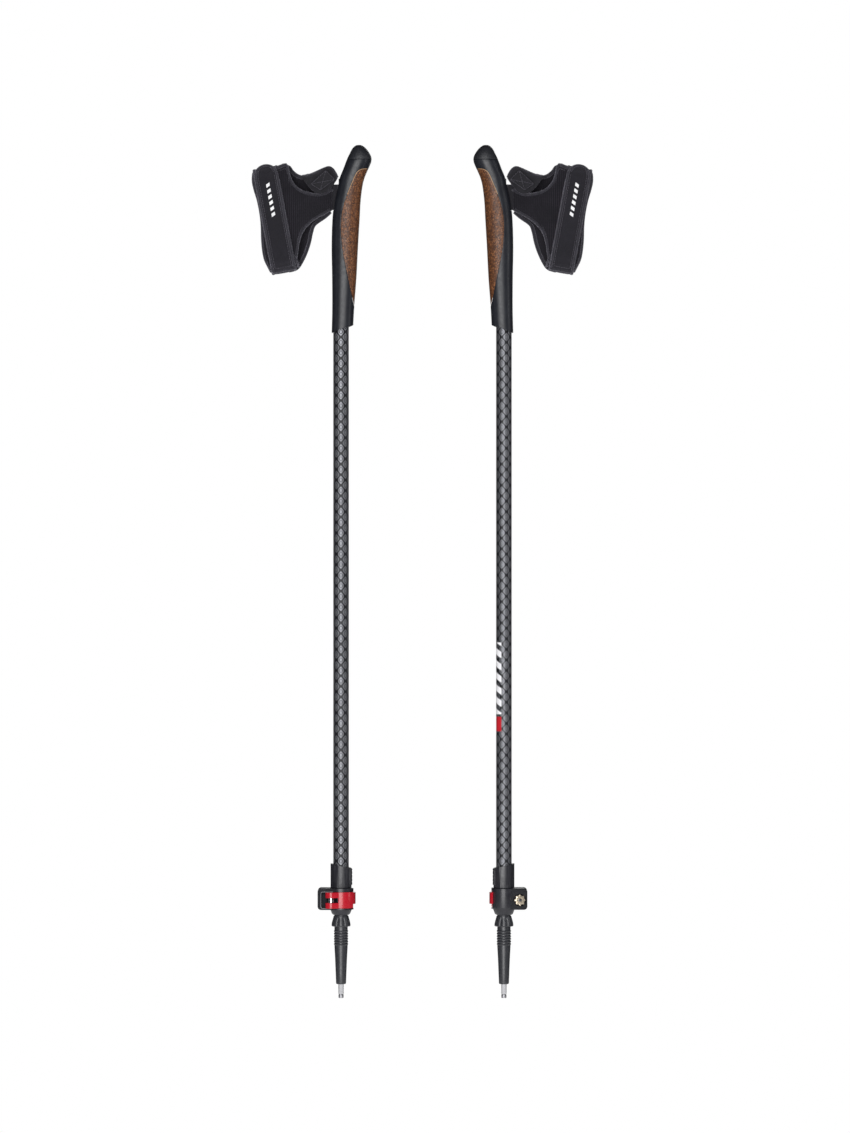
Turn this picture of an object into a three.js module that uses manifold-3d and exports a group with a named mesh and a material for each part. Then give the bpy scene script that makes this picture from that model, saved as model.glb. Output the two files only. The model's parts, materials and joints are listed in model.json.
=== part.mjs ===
// A pair of two-section Nordic walking poles with glove straps, shown collapsed and side by side.
// Millimetres, +Z up along the shafts. Each pole is modelled in its own frame: the shaft axis is Z,
// Z = 0 is the carbide tip, +X is the front of the grip, -X is the strap side.
// The pair's origin is the place where the hand holds the left pole.
import * as THREE from 'three';
import { mergeVertices } from 'three/addons/utils/BufferGeometryUtils.js';
import Module from 'manifold-3d';

const wasm = await Module();
wasm.setup();

// ---- driving dimensions -------------------------------------------------------------------------
const POLE_SPACING = 168;
const HOLD_HEIGHT = 770;
const GAP = 0.3;
const ROUND = 20;

const UPPER_TUBE = { outer: 8.0, inner: 7.3, bottom: 118, top: 800 };
const LOWER_TUBE = { outer: 7.0, inner: 6.1, neck: 5.5, bottom: 44, swage: [77, 82], top: 660 };

const GRIP_BOTTOM = { rear: 686, front: 694 };
const CAP_SEAM = 864;
const CAP_SPIGOT = { radius: 5, depth: 7 };
const CORK_THICKNESS = 2.6;
// [height, rear x, front x, half width]
const GRIP_CORNERS = 18;
const GRIP_SECTIONS = [
  [684.0, -9.7, 12.2, 11.0],
  [709.7, -9.1, 13.5, 11.6],
  [742.8, -9.2, 16.0, 13.0],
  [775.8, -9.7, 17.7, 14.0],
  [804.6, -8.8, 19.4, 13.9],
  [821.2, -6.8, 20.3, 13.4],
  [837.7, -3.1, 22.3, 13.2],
  [846.0, -1.3, 24.4, 13.5],
  [854.2, 2.0, 28.0, 14.2],
  [862.4, 5.4, 32.4, 15.0],
  [866.5, 7.2, 32.4, 15.0],
  [871.0, 9.2, 31.6, 14.2],
  [875.2, 11.0, 28.8, 12.2],
  [878.4, 14.4, 24.2, 8.0],
  [880.0, 17.0, 20.6, 3.0],
];
const CORK_EDGE = [[22, 853], [16, 849], [6.5, 824], [1.8, 801], [3.4, 775], [8.5, 745], [17, 714]];

const ANCHOR = { x: -1, bottom: 812, top: 840, pin: 1.5, eye: 3.3, mouth: 1.9, flareDegrees: 34 };

const CLAMP = { seam: 113.6, bottom: 86, bore: 8.6, collar: 11.9, sleeve: 10.8, split: 1.2 };
const SLEEVE_TOP = { rear: 138.8, front: 134 };
const EAR = { left: -24, low: 91.5, high: 114, corner: 3.5, lidY: 9.6, faceY: -5.5, rimY: -11.5 };
const LEVER = { low: 93.4, high: 109.8, inner: 12.3, outer: 15.0, tipDegrees: 24, cam: 6.2 };
const LEVER_SLOT = { half: 2.6, right: -2.6 };
const PIVOT = { x: -10, y: -12.9, radius: 1.5 };
const BOLT = { height: 101.6, tilt: 15.6, radius: 1.7, eye: 3.5, seat: 20.0, end: 25.0 };
const NUT = { radius: 4.7, tooth: 5.7, teeth: 8, thick: 3.2, boss: 3.8, pocket: 6.3 };

const FERRULE = { top: 84.6, skirt: 73.8, threadEnd: 53.6, bottom: 14.4, bore: 5.8, petals: 8 };
const SHANK = { radius: 2.75, bottom: 3.9, top: 38 };
const CARBIDE = { radius: 2.6, bore: 1.1, stem: 1.5, head: 3.6, top: 9, teeth: 6 };

const BAND = { top: [-78.5, 855], bottom: [-58.5, 749], width: 24.5, depth: 40, wall: 2.4 };
const LINING_EXTRA = 3.6;
const PANEL = { thick: 1.8, nearX: -10, nearY: 3.0, farX: -66, farY: 16.5 };

// ---- helpers ------------------------------------------------------------------------------------
function toSolid(geometry) {
  const bare = geometry.index ? geometry.clone() : geometry;
  bare.deleteAttribute('normal');
  bare.deleteAttribute('uv');
  const merged = mergeVertices(bare, 1e-4);
  const vertProperties = new Float32Array(merged.attributes.position.array);
  const triVerts = new Uint32Array(merged.index.array);
  const solid = new wasm.Manifold(new wasm.Mesh({ numProp: 3, vertProperties, triVerts }));
  if (solid.volume() >= 0) return solid;
  for (let i = 0; i < triVerts.length; i += 3) {
    [triVerts[i], triVerts[i + 1]] = [triVerts[i + 1], triVerts[i]];
  }
  return new wasm.Manifold(new wasm.Mesh({ numProp: 3, vertProperties, triVerts }));
}

function toGeometry(solid) {
  const mesh = solid.getMesh();
  const geometry = new THREE.BufferGeometry();
  const positions = new THREE.BufferAttribute(new Float32Array(mesh.vertProperties), mesh.numProp);
  geometry.setAttribute('position', positions);
  geometry.setIndex(new THREE.BufferAttribute(new Uint32Array(mesh.triVerts), 1));
  geometry.computeVertexNormals();
  return geometry;
}

// A solid turned about Z from a closed profile of [radius, height] points.
function turned(profile, segments = ROUND) {
  const points = profile.map(([r, z]) => new THREE.Vector2(r, z));
  const geometry = new THREE.LatheGeometry(points, segments);
  geometry.rotateX(Math.PI / 2);
  return toSolid(geometry);
}

function rod(radius, low, high, segments = ROUND) {
  return turned([[0, low], [radius, low], [radius, high], [0, high]], segments);
}

function ringRod(inner, outer, low, high, segments = ROUND) {
  return turned([[inner, low], [outer, low], [outer, high], [inner, high], [inner, low]], segments);
}

function block(x0, x1, y0, y1, z0, z1) {
  const geometry = new THREE.BoxGeometry(x1 - x0, y1 - y0, z1 - z0);
  geometry.translate((x0 + x1) / 2, (y0 + y1) / 2, (z0 + z1) / 2);
  return toSolid(geometry);
}

function polygon(points) {
  return new THREE.Shape(points.map(([u, v]) => new THREE.Vector2(u, v)));
}

// A flat shape drawn in X and Y, given height along Z.
function plate(shape, low, high, curveSegments = 6) {
  const settings = { depth: high - low, bevelEnabled: false, curveSegments };
  const geometry = new THREE.ExtrudeGeometry(shape, settings);
  geometry.translate(0, 0, low);
  return toSolid(geometry);
}

// A flat shape drawn in X and Z, given thickness along Y.
function sidePlate(shape, near, far, curveSegments = 6) {
  const settings = { depth: far - near, bevelEnabled: false, curveSegments };
  const geometry = new THREE.ExtrudeGeometry(shape, settings);
  geometry.rotateX(Math.PI / 2);
  geometry.translate(0, far, 0);
  return toSolid(geometry);
}

// A closed skin over a stack of rings that all have the same number of points.
function loft(rings) {
  const count = rings[0].length;
  const positions = rings.flat(2);
  const index = [];
  for (let r = 0; r < rings.length - 1; r += 1) {
    for (let i = 0; i < count; i += 1) {
      const a = r * count + i;
      const b = r * count + ((i + 1) % count);
      index.push(a, b, a + count, b, b + count, a + count);
    }
  }
  for (const [ring, flip] of [[0, true], [rings.length - 1, false]]) {
    const first = ring * count;
    for (let i = 1; i < count - 1; i += 1) {
      const fan = [first, first + i, first + i + 1];
      index.push(...(flip ? fan.reverse() : fan));
    }
  }
  const geometry = new THREE.BufferGeometry();
  geometry.setAttribute('position', new THREE.BufferAttribute(new Float32Array(positions), 3));
  geometry.setIndex(index);
  return toSolid(geometry);
}

function radians(degrees) {
  return (degrees * Math.PI) / 180;
}

function arcPoints(radius, fromDegrees, toDegrees, steps) {
  return Array.from({ length: steps + 1 }, (_, i) => {
    const angle = radians(fromDegrees + ((toDegrees - fromDegrees) * i) / steps);
    return [radius * Math.cos(angle), radius * Math.sin(angle)];
  });
}

function smoothPoints(points, steps) {
  const curve = new THREE.SplineCurve(points.map(([u, v]) => new THREE.Vector2(u, v)));
  return curve.getPoints(steps).map((p) => [p.x, p.y]);
}

// Puts a solid built along its own Z onto the clamp bolt: Z runs from the lever pivot to the nut.
function alongBolt(solid) {
  return solid
    .rotate([-90, 0, 0])
    .rotate([0, 0, BOLT.tilt])
    .translate([PIVOT.x, PIVOT.y, BOLT.height]);
}

function material(color, roughness, metalness = 0) {
  return new THREE.MeshStandardMaterial({ color, roughness, metalness });
}

function piece(name, solid, look) {
  const mesh = new THREE.Mesh(toGeometry(solid), look);
  mesh.name = name;
  return mesh;
}

// ---- grip ---------------------------------------------------------------------------------------
function gripRing([height, rear, front, halfWidth], inset) {
  const corners = GRIP_CORNERS;
  const power = 0.88;
  const middle = (rear + front) / 2;
  const halfLength = (front - rear) / 2 - inset;
  return Array.from({ length: corners }, (_, i) => {
    const angle = (i / corners) * 2 * Math.PI;
    const [c, s] = [Math.cos(angle), Math.sin(angle)];
    const x = middle + halfLength * Math.sign(c) * Math.abs(c) ** power;
    const y = (halfWidth - inset) * Math.sign(s) * Math.abs(s) ** power;
    return [x, y, height];
  });
}

function gripForm(inset = 0, lowest = -Infinity, highest = Infinity) {
  const sections = GRIP_SECTIONS.filter(([height]) => height > lowest && height < highest);
  return loft(sections.map((section) => gripRing(section, inset)));
}

function corkRegion(grow) {
  const edge = smoothPoints(CORK_EDGE.map(([x, z]) => [x - grow, z]), 14);
  const [, top] = edge[0];
  const [, bottom] = edge[edge.length - 1];
  const outline = [...edge, [40, bottom - grow], [40, top + grow]];
  return sidePlate(polygon(outline), -20, 20);
}

function gripCore(inset) {
  return gripForm(inset, GRIP_BOTTOM.rear, CAP_SEAM);
}

function makeCork() {
  return gripForm().intersect(corkRegion(0)).subtract(gripCore(CORK_THICKNESS));
}

function strapSlot() {
  const reach = 16;
  const { x, bottom, top, mouth } = ANCHOR;
  const side = mouth + reach * Math.tan(radians(ANCHOR.flareDegrees));
  const wedge = polygon([[x, mouth], [x - reach, side], [x - reach, -side], [x, -mouth]]);
  const eyeRoom = rod(ANCHOR.eye + 0.6, bottom, top).translate([x, 0, 0]);
  return plate(wedge, bottom, top).add(eyeRoom);
}

function makeGripBody() {
  const core = gripCore(CORK_THICKNESS + GAP);
  const below = block(-30, 50, -30, 30, 600, CAP_SEAM - GAP / 2);
  const slope = Math.atan2(GRIP_BOTTOM.front - GRIP_BOTTOM.rear, 22);
  const trim = block(-40, 40, -30, 30, -30, 0)
    .rotate([0, (-slope * 180) / Math.PI, 0])
    .translate([1.3, 0, (GRIP_BOTTOM.front + GRIP_BOTTOM.rear) / 2]);
  const tubeBore = rod(UPPER_TUBE.outer + GAP, 600, UPPER_TUBE.top + 1);
  const pinBore = rod(ANCHOR.pin + GAP / 2, ANCHOR.bottom - 6, ANCHOR.top + 6, 16);
  const capPocket = rod(CAP_SPIGOT.radius + GAP, CAP_SEAM - CAP_SPIGOT.depth - 1, CAP_SEAM + 9);
  return gripForm()
    .subtract(corkRegion(GAP))
    .add(core)
    .intersect(below)
    .subtract(trim)
    .subtract(tubeBore)
    .subtract(strapSlot())
    .subtract(pinBore.translate([ANCHOR.x, 0, 0]))
    .subtract(capPocket.translate([18, 0, 0]));
}

function makeHeadCap() {
  const above = block(-30, 50, -30, 30, CAP_SEAM + GAP / 2, 900);
  const spigot = rod(CAP_SPIGOT.radius, CAP_SEAM - CAP_SPIGOT.depth, CAP_SEAM + 3);
  return gripForm(0, GRIP_BOTTOM.front).intersect(above).add(spigot.translate([18, 0, 0]));
}

function makeAnchorPin() {
  return rod(ANCHOR.pin, ANCHOR.bottom - 5, ANCHOR.top + 5, 16).translate([ANCHOR.x, 0, 0]);
}

// ---- tubes --------------------------------------------------------------------------------------
function makeUpperTube() {
  const { inner, outer, bottom, top } = UPPER_TUBE;
  return ringRod(inner, outer, bottom + GAP, top);
}

function makeLowerTube() {
  const { inner, outer, neck, bottom, swage, top } = LOWER_TUBE;
  const wall = outer - inner;
  return turned([
    [neck - wall, bottom], [neck, bottom], [neck, swage[0]], [outer, swage[1]], [outer, top],
    [inner, top], [inner, swage[1]], [neck - wall, swage[0]], [neck - wall, bottom],
  ]);
}

function makeTubeGuide() {
  const { inner, outer, top } = LOWER_TUBE;
  const spigot = inner - GAP;
  return turned([
    [3.6, top - 18], [spigot, top - 18], [spigot, top + GAP], [outer, top + GAP],
    [outer, top + 9], [outer - 1, top + 10], [3.6, top + 10], [3.6, top - 18],
  ]);
}

// ---- clamp --------------------------------------------------------------------------------------
function thumbRibs() {
  const pad = plate(
    polygon([...arcPoints(11.5, -30, 30, 8), ...arcPoints(9.5, 30, -30, 4)]), 116.5, 134);
  const grooves = [120.2, 124.4, 128.6].map((height) => {
    const groove = rod(1.0, -9, 9, 8).rotate([90, 0, 0]);
    return groove.translate([11.9, 0, height]);
  });
  return grooves.reduce((solid, groove) => solid.subtract(groove), pad);
}

function makeSleeve() {
  const { seam, bottom, bore, sleeve } = CLAMP;
  const skirt = bore - GAP;
  const outside = turned([
    [0, bottom + 4], [skirt, bottom + 4], [skirt, seam + GAP], [sleeve, seam + GAP],
    [sleeve, 142], [0, 142],
  ]);
  const rise = SLEEVE_TOP.rear - SLEEVE_TOP.front;
  const slant = (Math.atan2(rise, 2 * CLAMP.sleeve) * 180) / Math.PI;
  const trim = block(-40, 40, -20, 20, 0, 20)
    .rotate([0, slant, 0])
    .translate([0, 0, (SLEEVE_TOP.rear + SLEEVE_TOP.front) / 2]);
  return outside
    .add(thumbRibs())
    .subtract(trim)
    .subtract(rod(LOWER_TUBE.outer + GAP, 60, 150))
    .subtract(rod(UPPER_TUBE.outer + GAP, UPPER_TUBE.bottom, 160))
    .subtract(block(-12, 0, -0.8, 0.8, bottom, seam - 2));
}

function earBlock(near, far) {
  const { left, low, high, corner } = EAR;
  const shape = new THREE.Shape();
  shape.moveTo(-5, low);
  shape.lineTo(left + corner, low);
  shape.absarc(left + corner, low + corner, corner, -Math.PI / 2, -Math.PI, true);
  shape.absarc(left + corner, high - corner, corner, Math.PI, Math.PI / 2, true);
  shape.lineTo(-5, high);
  return sidePlate(shape, near, far, 4);
}

function leverChannel() {
  const shape = new THREE.Shape();
  const [left, low, high] = [EAR.left + 3.4, LEVER.low - GAP, LEVER.high + GAP];
  shape.moveTo(left + 2, low);
  shape.lineTo(40, low);
  shape.lineTo(40, high);
  shape.lineTo(left + 2, high);
  shape.absarc(left + 2, high - 2, 2, Math.PI / 2, Math.PI, false);
  shape.absarc(left + 2, low + 2, 2, Math.PI, (3 * Math.PI) / 2, false);
  return sidePlate(shape, -30, EAR.faceY, 3);
}

function collarLips() {
  const sector = polygon([...arcPoints(13.3, 188, 344, 10), ...arcPoints(10.5, 344, 188, 6)]);
  const upper = plate(sector, LEVER.high + GAP, CLAMP.seam);
  const lower = plate(sector, EAR.low, LEVER.low - GAP);
  return upper.add(lower);
}

function makeCollar() {
  const { seam, bottom, bore, collar, split } = CLAMP;
  const ring = turned([
    [0, bottom], [8.4, bottom], [9.3, bottom + 1.2], [collar, bottom + 7], [collar, seam], [0, seam],
  ], 24);
  const leverRoom = ringRod(collar, 40, LEVER.low - GAP, LEVER.high + GAP, 24);
  const rim = earBlock(EAR.rimY, EAR.faceY).subtract(leverChannel());
  const camRoom = rod(LEVER.cam + GAP, LEVER.low - GAP, LEVER.high + GAP);
  return ring
    .add(earBlock(EAR.faceY, EAR.lidY))
    .add(rim.subtract(leverRoom.intersect(block(-12, 40, -40, 0, 0, 200))))
    .add(collarLips())
    .subtract(rod(bore, bottom + 3.6, 150, 24))
    .subtract(rod(CLAMP.sleeve + GAP, seam, 150, 24))
    .subtract(rod(LOWER_TUBE.outer + 0.5, 60, 150, 24))
    .subtract(camRoom.translate([PIVOT.x, PIVOT.y, 0]))
    .subtract(block(-30, -5, -split / 2, split / 2, 60, 150))
    .subtract(alongBolt(rod(BOLT.radius + GAP, 2, 40, 12)))
    .subtract(alongBolt(rod(NUT.pocket, BOLT.seat, 40, 16)));
}

function makeWearPlate() {
  const [near, far] = [EAR.faceY - GAP - 0.6, EAR.faceY - GAP];
  const { height } = BOLT;
  const outline = polygon([
    [-18.5, height - 6], [-10.9, height - 6], [-10.9, height - 2.6], [-14.6, height - 2.6],
    [-14.6, height + 2.6], [-10.9, height + 2.6], [-10.9, height + 6], [-18.5, height + 6],
  ]);
  return sidePlate(outline, near, far);
}

function leverOutline() {
  const { inner, outer, tipDegrees, cam } = LEVER;
  const turnedEnd = 360 + tipDegrees;
  const outside = arcPoints(outer, 262, turnedEnd, 12);
  const inside = arcPoints(inner, turnedEnd, 238, 14);
  const barrel = arcPoints(cam - 0.35, 62, 262, 10).map(([x, y]) => [x + PIVOT.x, y + PIVOT.y + 0.35]);
  return polygon([...outside, ...inside, ...barrel]);
}

function makeLever() {
  const { low, high } = LEVER;
  const { height } = BOLT;
  const slot = block(-30, LEVER_SLOT.right, -30, 30, height - LEVER_SLOT.half, height + LEVER_SLOT.half);
  const pinHole = rod(PIVOT.radius + GAP / 2, 0, 200, 12).translate([PIVOT.x, PIVOT.y, 0]);
  const tipTrim = sidePlate(polygon([[7, 80], [7, low], [11, low + 4], [30, low + 4], [30, 80]]), -8, 30);
  return plate(leverOutline(), low, high)
    .subtract(slot)
    .subtract(pinHole)
    .subtract(tipTrim);
}

function makePivotPin() {
  const { x, y, radius } = PIVOT;
  return rod(radius, LEVER.low + 0.6, LEVER.high - 0.6, 12).translate([x, y, 0]);
}

function makeBolt() {
  const half = LEVER_SLOT.half - GAP;
  const eye = rod(BOLT.eye, BOLT.height - half, BOLT.height + half).translate([PIVOT.x, PIVOT.y, 0]);
  const pinHole = rod(PIVOT.radius + GAP, 0, 200, 12).translate([PIVOT.x, PIVOT.y, 0]);
  return eye.add(alongBolt(rod(BOLT.radius, 2, BOLT.end, 12))).subtract(pinHole);
}

function nutOutline() {
  const steps = 4 * NUT.teeth;
  return polygon(Array.from({ length: steps }, (_, i) => {
    const radius = i % 4 < 2 ? NUT.tooth : NUT.radius;
    const angle = ((i + (i % 2) * 0.25) / steps) * 2 * Math.PI;
    return [radius * Math.cos(angle), radius * Math.sin(angle)];
  }));
}

function makeWheelNut() {
  const start = BOLT.seat + 4 * GAP;
  const boss = rod(NUT.boss, start + NUT.thick - 0.5, start + NUT.thick + 0.7);
  return alongBolt(plate(nutOutline(), start, start + NUT.thick)
    .add(boss)
    .subtract(rod(BOLT.radius + GAP / 2, 0, 40, 12)));
}

function makeWasher() {
  return alongBolt(ringRod(BOLT.radius + GAP, 4.4, BOLT.seat + GAP, BOLT.seat + 3 * GAP, 12));
}

// ---- tip ----------------------------------------------------------------------------------------
function petalSkirt() {
  const corners = 4 * FERRULE.petals;
  const levels = [[FERRULE.skirt, 9.7], [78, 9.3], [FERRULE.top, 7.75]];
  return loft(levels.map(([height, radius]) => Array.from({ length: corners }, (_, i) => {
    const angle = (i / corners) * 2 * Math.PI;
    const scallop = 0.55 * (1 - Math.abs(Math.cos((FERRULE.petals / 2) * angle)));
    const r = radius - scallop * ((FERRULE.top - height) / 10.8);
    return [r * Math.cos(angle), r * Math.sin(angle), height];
  })));
}

function basketThread() {
  const rings = 6;
  const pitch = 2.7;
  const profile = [[0, FERRULE.threadEnd - 3], [6.8, FERRULE.threadEnd - 3]];
  for (let i = 0; i < rings; i += 1) {
    const height = FERRULE.threadEnd + 1 + i * pitch;
    profile.push([6.7, height], [7.3, height + 1], [6.7, height + 2]);
  }
  profile.push([6.7, FERRULE.skirt + 1], [0, FERRULE.skirt + 1]);
  return turned(profile, 16);
}

function makeFerrule() {
  const { bottom, threadEnd, top, bore } = FERRULE;
  const cone = turned([[0, bottom], [4.7, bottom], [5.15, bottom + 0.8], [6.75, threadEnd], [0, threadEnd]], 16);
  const tubeRoom = turned([
    [0, LOWER_TUBE.bottom - 1], [bore, LOWER_TUBE.bottom - 1], [bore, LOWER_TUBE.swage[0] + 0.2],
    [LOWER_TUBE.outer + GAP, LOWER_TUBE.swage[1] + 0.2], [LOWER_TUBE.outer + GAP, top + 1], [0, top + 1],
  ], 16);
  return cone
    .add(basketThread())
    .add(petalSkirt())
    .subtract(tubeRoom)
    .subtract(rod(SHANK.radius + GAP, 0, SHANK.top + GAP, 16));
}

function makeShank() {
  const { radius, bottom, top } = SHANK;
  const profile = [[0, bottom], [radius, bottom], [radius, top - 0.8], [radius - 0.8, top], [0, top]];
  return turned(profile, 16).subtract(rod(CARBIDE.stem + GAP, 0, CARBIDE.top + GAP, 12));
}

function makeCarbide() {
  const { radius, bore, stem, head, top, teeth } = CARBIDE;
  const crown = turned([
    [0, 1.4], [bore, 1.0], [bore + 0.4, 0], [radius, 0], [radius, head], [stem, head],
    [stem, top], [0, top],
  ], 12);
  const notches = Array.from({ length: teeth }, (_, i) => block(0, 5, -0.4, 0.4, -1, 0.9)
    .rotate([0, 0, ((i + 0.5) * 360) / teeth]));
  return notches.reduce((solid, notch) => solid.subtract(notch), crown);
}

// ---- glove strap --------------------------------------------------------------------------------
const BAND_SPAN = [BAND.bottom[0] - BAND.top[0], BAND.bottom[1] - BAND.top[1]];
const BAND_LENGTH = Math.hypot(...BAND_SPAN);
const BAND_TILT = (Math.atan2(BAND_SPAN[0], -BAND_SPAN[1]) * 180) / Math.PI;
const BAND_MIDDLE = [(BAND.top[0] + BAND.bottom[0]) / 2, (BAND.top[1] + BAND.bottom[1]) / 2];

// A flattened loop drawn upright, its opening along X, then leaned into the band's place.
function bandLoop(inset, wall, left, right) {
  const ring = (grow) => {
    const radius = BAND.depth / 2 - grow;
    const straight = BAND_LENGTH / 2 - BAND.depth / 2;
    const shape = new THREE.Shape();
    shape.absarc(0, straight, radius, 0, Math.PI, false);
    shape.absarc(0, -straight, radius, Math.PI, 2 * Math.PI, false);
    return plate(shape, -60, 60, 10).rotate([90, 0, 90]);
  };
  const span = block(left, right, -40, 40, -90, 90);
  return placeOnBand(ring(inset).subtract(ring(inset + wall)).intersect(span));
}

function placeOnBand(solid) {
  return solid.rotate([0, -BAND_TILT, 0]).translate([BAND_MIDDLE[0], 0, BAND_MIDDLE[1]]);
}

function makeWristBand() {
  return bandLoop(0, BAND.wall, -BAND.width / 2, BAND.width / 2);
}

function makeWristLining() {
  return bandLoop(BAND.wall + GAP, 1.6, -BAND.width / 2 - LINING_EXTRA, BAND.width / 2 - 4);
}

function makeClosureTab() {
  const half = BAND.width / 2;
  const straight = BAND_LENGTH / 2 - 9;
  const shape = new THREE.Shape();
  shape.moveTo(-half, -straight - 6);
  shape.lineTo(half, -straight - 6);
  shape.lineTo(half, straight - 4);
  shape.absarc(0, straight - 4, half, 0, Math.PI, false);
  const near = -BAND.depth / 2 - GAP - 2;
  return placeOnBand(sidePlate(shape, near, near + 2, 8));
}

// Slants a flat panel so that it runs from beside the wrist band in to the webbing at the grip.
function slanted(shape, side) {
  const underBand = placeOnBand(block(-60, BAND.width / 2 + 0.4, -40, 40, -90, 90));
  const slope = (PANEL.farY - PANEL.nearY) / (PANEL.nearX - PANEL.farX);
  const half = PANEL.thick / 2;
  return sidePlate(shape, -half, half).transform([
    1, -side * slope, 0, 0,
    0, 1, 0, 0,
    0, 0, 1, 0,
    0, side * (PANEL.nearY + slope * PANEL.nearX), 0, 1,
  ]).subtract(underBand);
}

function makeHandPanel() {
  const thumbEdge = [[-56.5, 857], [-53, 843], [-46, 833.5], [-34, 829], [-20, 829], [-10, 834.5]];
  const fingerEdge = [[-10, 816], [-27, 804], [-38, 794], [-44, 781], [-46, 766]];
  const edges = [...smoothPoints(thumbEdge, 12), ...smoothPoints(fingerEdge, 10)];
  return slanted(polygon([[-80, 770], [-80, 853], [-66, 853.5], ...edges]), -1);
}

function makePalmPanel() {
  const thumbEdge = [[-56, 857.5], [-50, 851], [-42, 847], [-37, 846.5], [-28, 838], [-10, 835]];
  const fingerEdge = [[-10, 815], [-29, 797], [-34, 780], [-40, 762], [-42.5, 755]];
  const edges = [...smoothPoints(thumbEdge, 12), ...smoothPoints(fingerEdge, 8)];
  return slanted(polygon([[-80, 770], [-80, 853], [-66, 853.5], ...edges]), 1);
}

function makeThumbLoop() {
  const outside = smoothPoints([[-37, 848.6], [-25, 853.5], [-13, 857.8], [-7, 855], [-3.6, 849]], 10);
  const inside = smoothPoints([[-3.6, 844], [-12, 842], [-24, 840.5], [-33, 846.2]], 6);
  return sidePlate(polygon([...outside, ...inside]), -3.6, 3.6);
}

function makeAnchorWebbing() {
  const { x, bottom, top, eye, pin } = ANCHOR;
  const [low, high] = [bottom + 2, top - 2];
  const tongue = block(-22, x - 1, -1.1, 1.1, low, high);
  const loop = rod(eye, low, high, 20).translate([x, 0, 0]);
  return tongue.add(loop).subtract(rod(pin + GAP, 0, 900, 16).translate([x, 0, 0]));
}

// ---- assembly -----------------------------------------------------------------------------------
const LOOKS = {
  gripRubber: material(0x26282e, 0.55),
  capRubber: material(0x202227, 0.85),
  cork: material(0x7a4a2c, 0.8),
  printedTube: material(0x2a2a2f, 0.35, 0.4),
  plainTube: material(0x1d1e23, 0.3, 0.6),
  clampPlastic: material(0x1f2126, 0.5),
  redLever: material(0xc4162a, 0.25),
  steel: material(0xc7c9cc, 0.25, 1),
  brass: material(0xc9b48a, 0.3, 1),
  carbide: material(0x77797d, 0.4, 1),
  blackTip: material(0x191a1f, 0.3),
  webbing: material(0x1b1a22, 0.9),
  mesh: material(0x1f1d26, 0.95),
};

function makeStrap(side, mirror) {
  const strap = new THREE.Group();
  strap.scale.y = mirror;
  strap.add(
    piece(`${side}_strap_anchor_webbing`, makeAnchorWebbing(), LOOKS.webbing),
    piece(`${side}_strap_hand_panel`, makeHandPanel(), LOOKS.mesh),
    piece(`${side}_strap_palm_panel`, makePalmPanel(), LOOKS.mesh),
    piece(`${side}_strap_thumb_loop`, makeThumbLoop(), LOOKS.webbing),
    piece(`${side}_strap_wrist_band`, makeWristBand(), LOOKS.webbing),
    piece(`${side}_strap_wrist_lining`, makeWristLining(), LOOKS.mesh),
    piece(`${side}_strap_closure_tab`, makeClosureTab(), LOOKS.webbing),
  );
  return strap;
}

function makePole(side, turn, mirror) {
  const pole = new THREE.Group();
  pole.rotation.z = turn;
  pole.add(
    piece(`${side}_grip_body`, makeGripBody(), LOOKS.gripRubber),
    piece(`${side}_grip_cork_inlay`, makeCork(), LOOKS.cork),
    piece(`${side}_grip_head_cap`, makeHeadCap(), LOOKS.capRubber),
    piece(`${side}_strap_anchor_pin`, makeAnchorPin(), LOOKS.steel),
    piece(`${side}_upper_tube`, makeUpperTube(), LOOKS.printedTube),
    piece(`${side}_lower_tube`, makeLowerTube(), LOOKS.plainTube),
    piece(`${side}_lower_tube_guide`, makeTubeGuide(), LOOKS.clampPlastic),
    piece(`${side}_clamp_sleeve`, makeSleeve(), LOOKS.clampPlastic),
    piece(`${side}_clamp_collar`, makeCollar(), LOOKS.clampPlastic),
    piece(`${side}_clamp_wear_plate`, makeWearPlate(), LOOKS.steel),
    piece(`${side}_clamp_lever`, makeLever(), LOOKS.redLever),
    piece(`${side}_lever_pivot_pin`, makePivotPin(), LOOKS.steel),
    piece(`${side}_clamp_bolt`, makeBolt(), LOOKS.steel),
    piece(`${side}_clamp_washer`, makeWasher(), LOOKS.steel),
    piece(`${side}_clamp_wheel_nut`, makeWheelNut(), LOOKS.brass),
    piece(`${side}_tip_ferrule`, makeFerrule(), LOOKS.blackTip),
    piece(`${side}_tip_shank`, makeShank(), LOOKS.steel),
    piece(`${side}_tip_carbide`, makeCarbide(), LOOKS.carbide),
    makeStrap(side, mirror),
  );
  return pole;
}

const leftPole = makePole('left', 0, 1);
const rightPole = makePole('right', Math.PI, -1);
rightPole.position.x = POLE_SPACING;

const pair = new THREE.Group();
pair.position.z = -HOLD_HEIGHT;
pair.add(leftPole, rightPole);

export default pair;
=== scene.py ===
"""A pair of Nordic walking poles: fine surfaces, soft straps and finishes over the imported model.

Every piece is drawn in its own pole's frame, in millimetres: the shaft axis is Z, Z = 0 is the
carbide tip, +X is the front of the grip and -X is the strap side.
"""

import json
import logging
import math
from collections.abc import Callable, Sequence
from dataclasses import dataclass, field, replace
from enum import Enum

import bmesh
import bpy
from mathutils import Matrix, Vector

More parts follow.
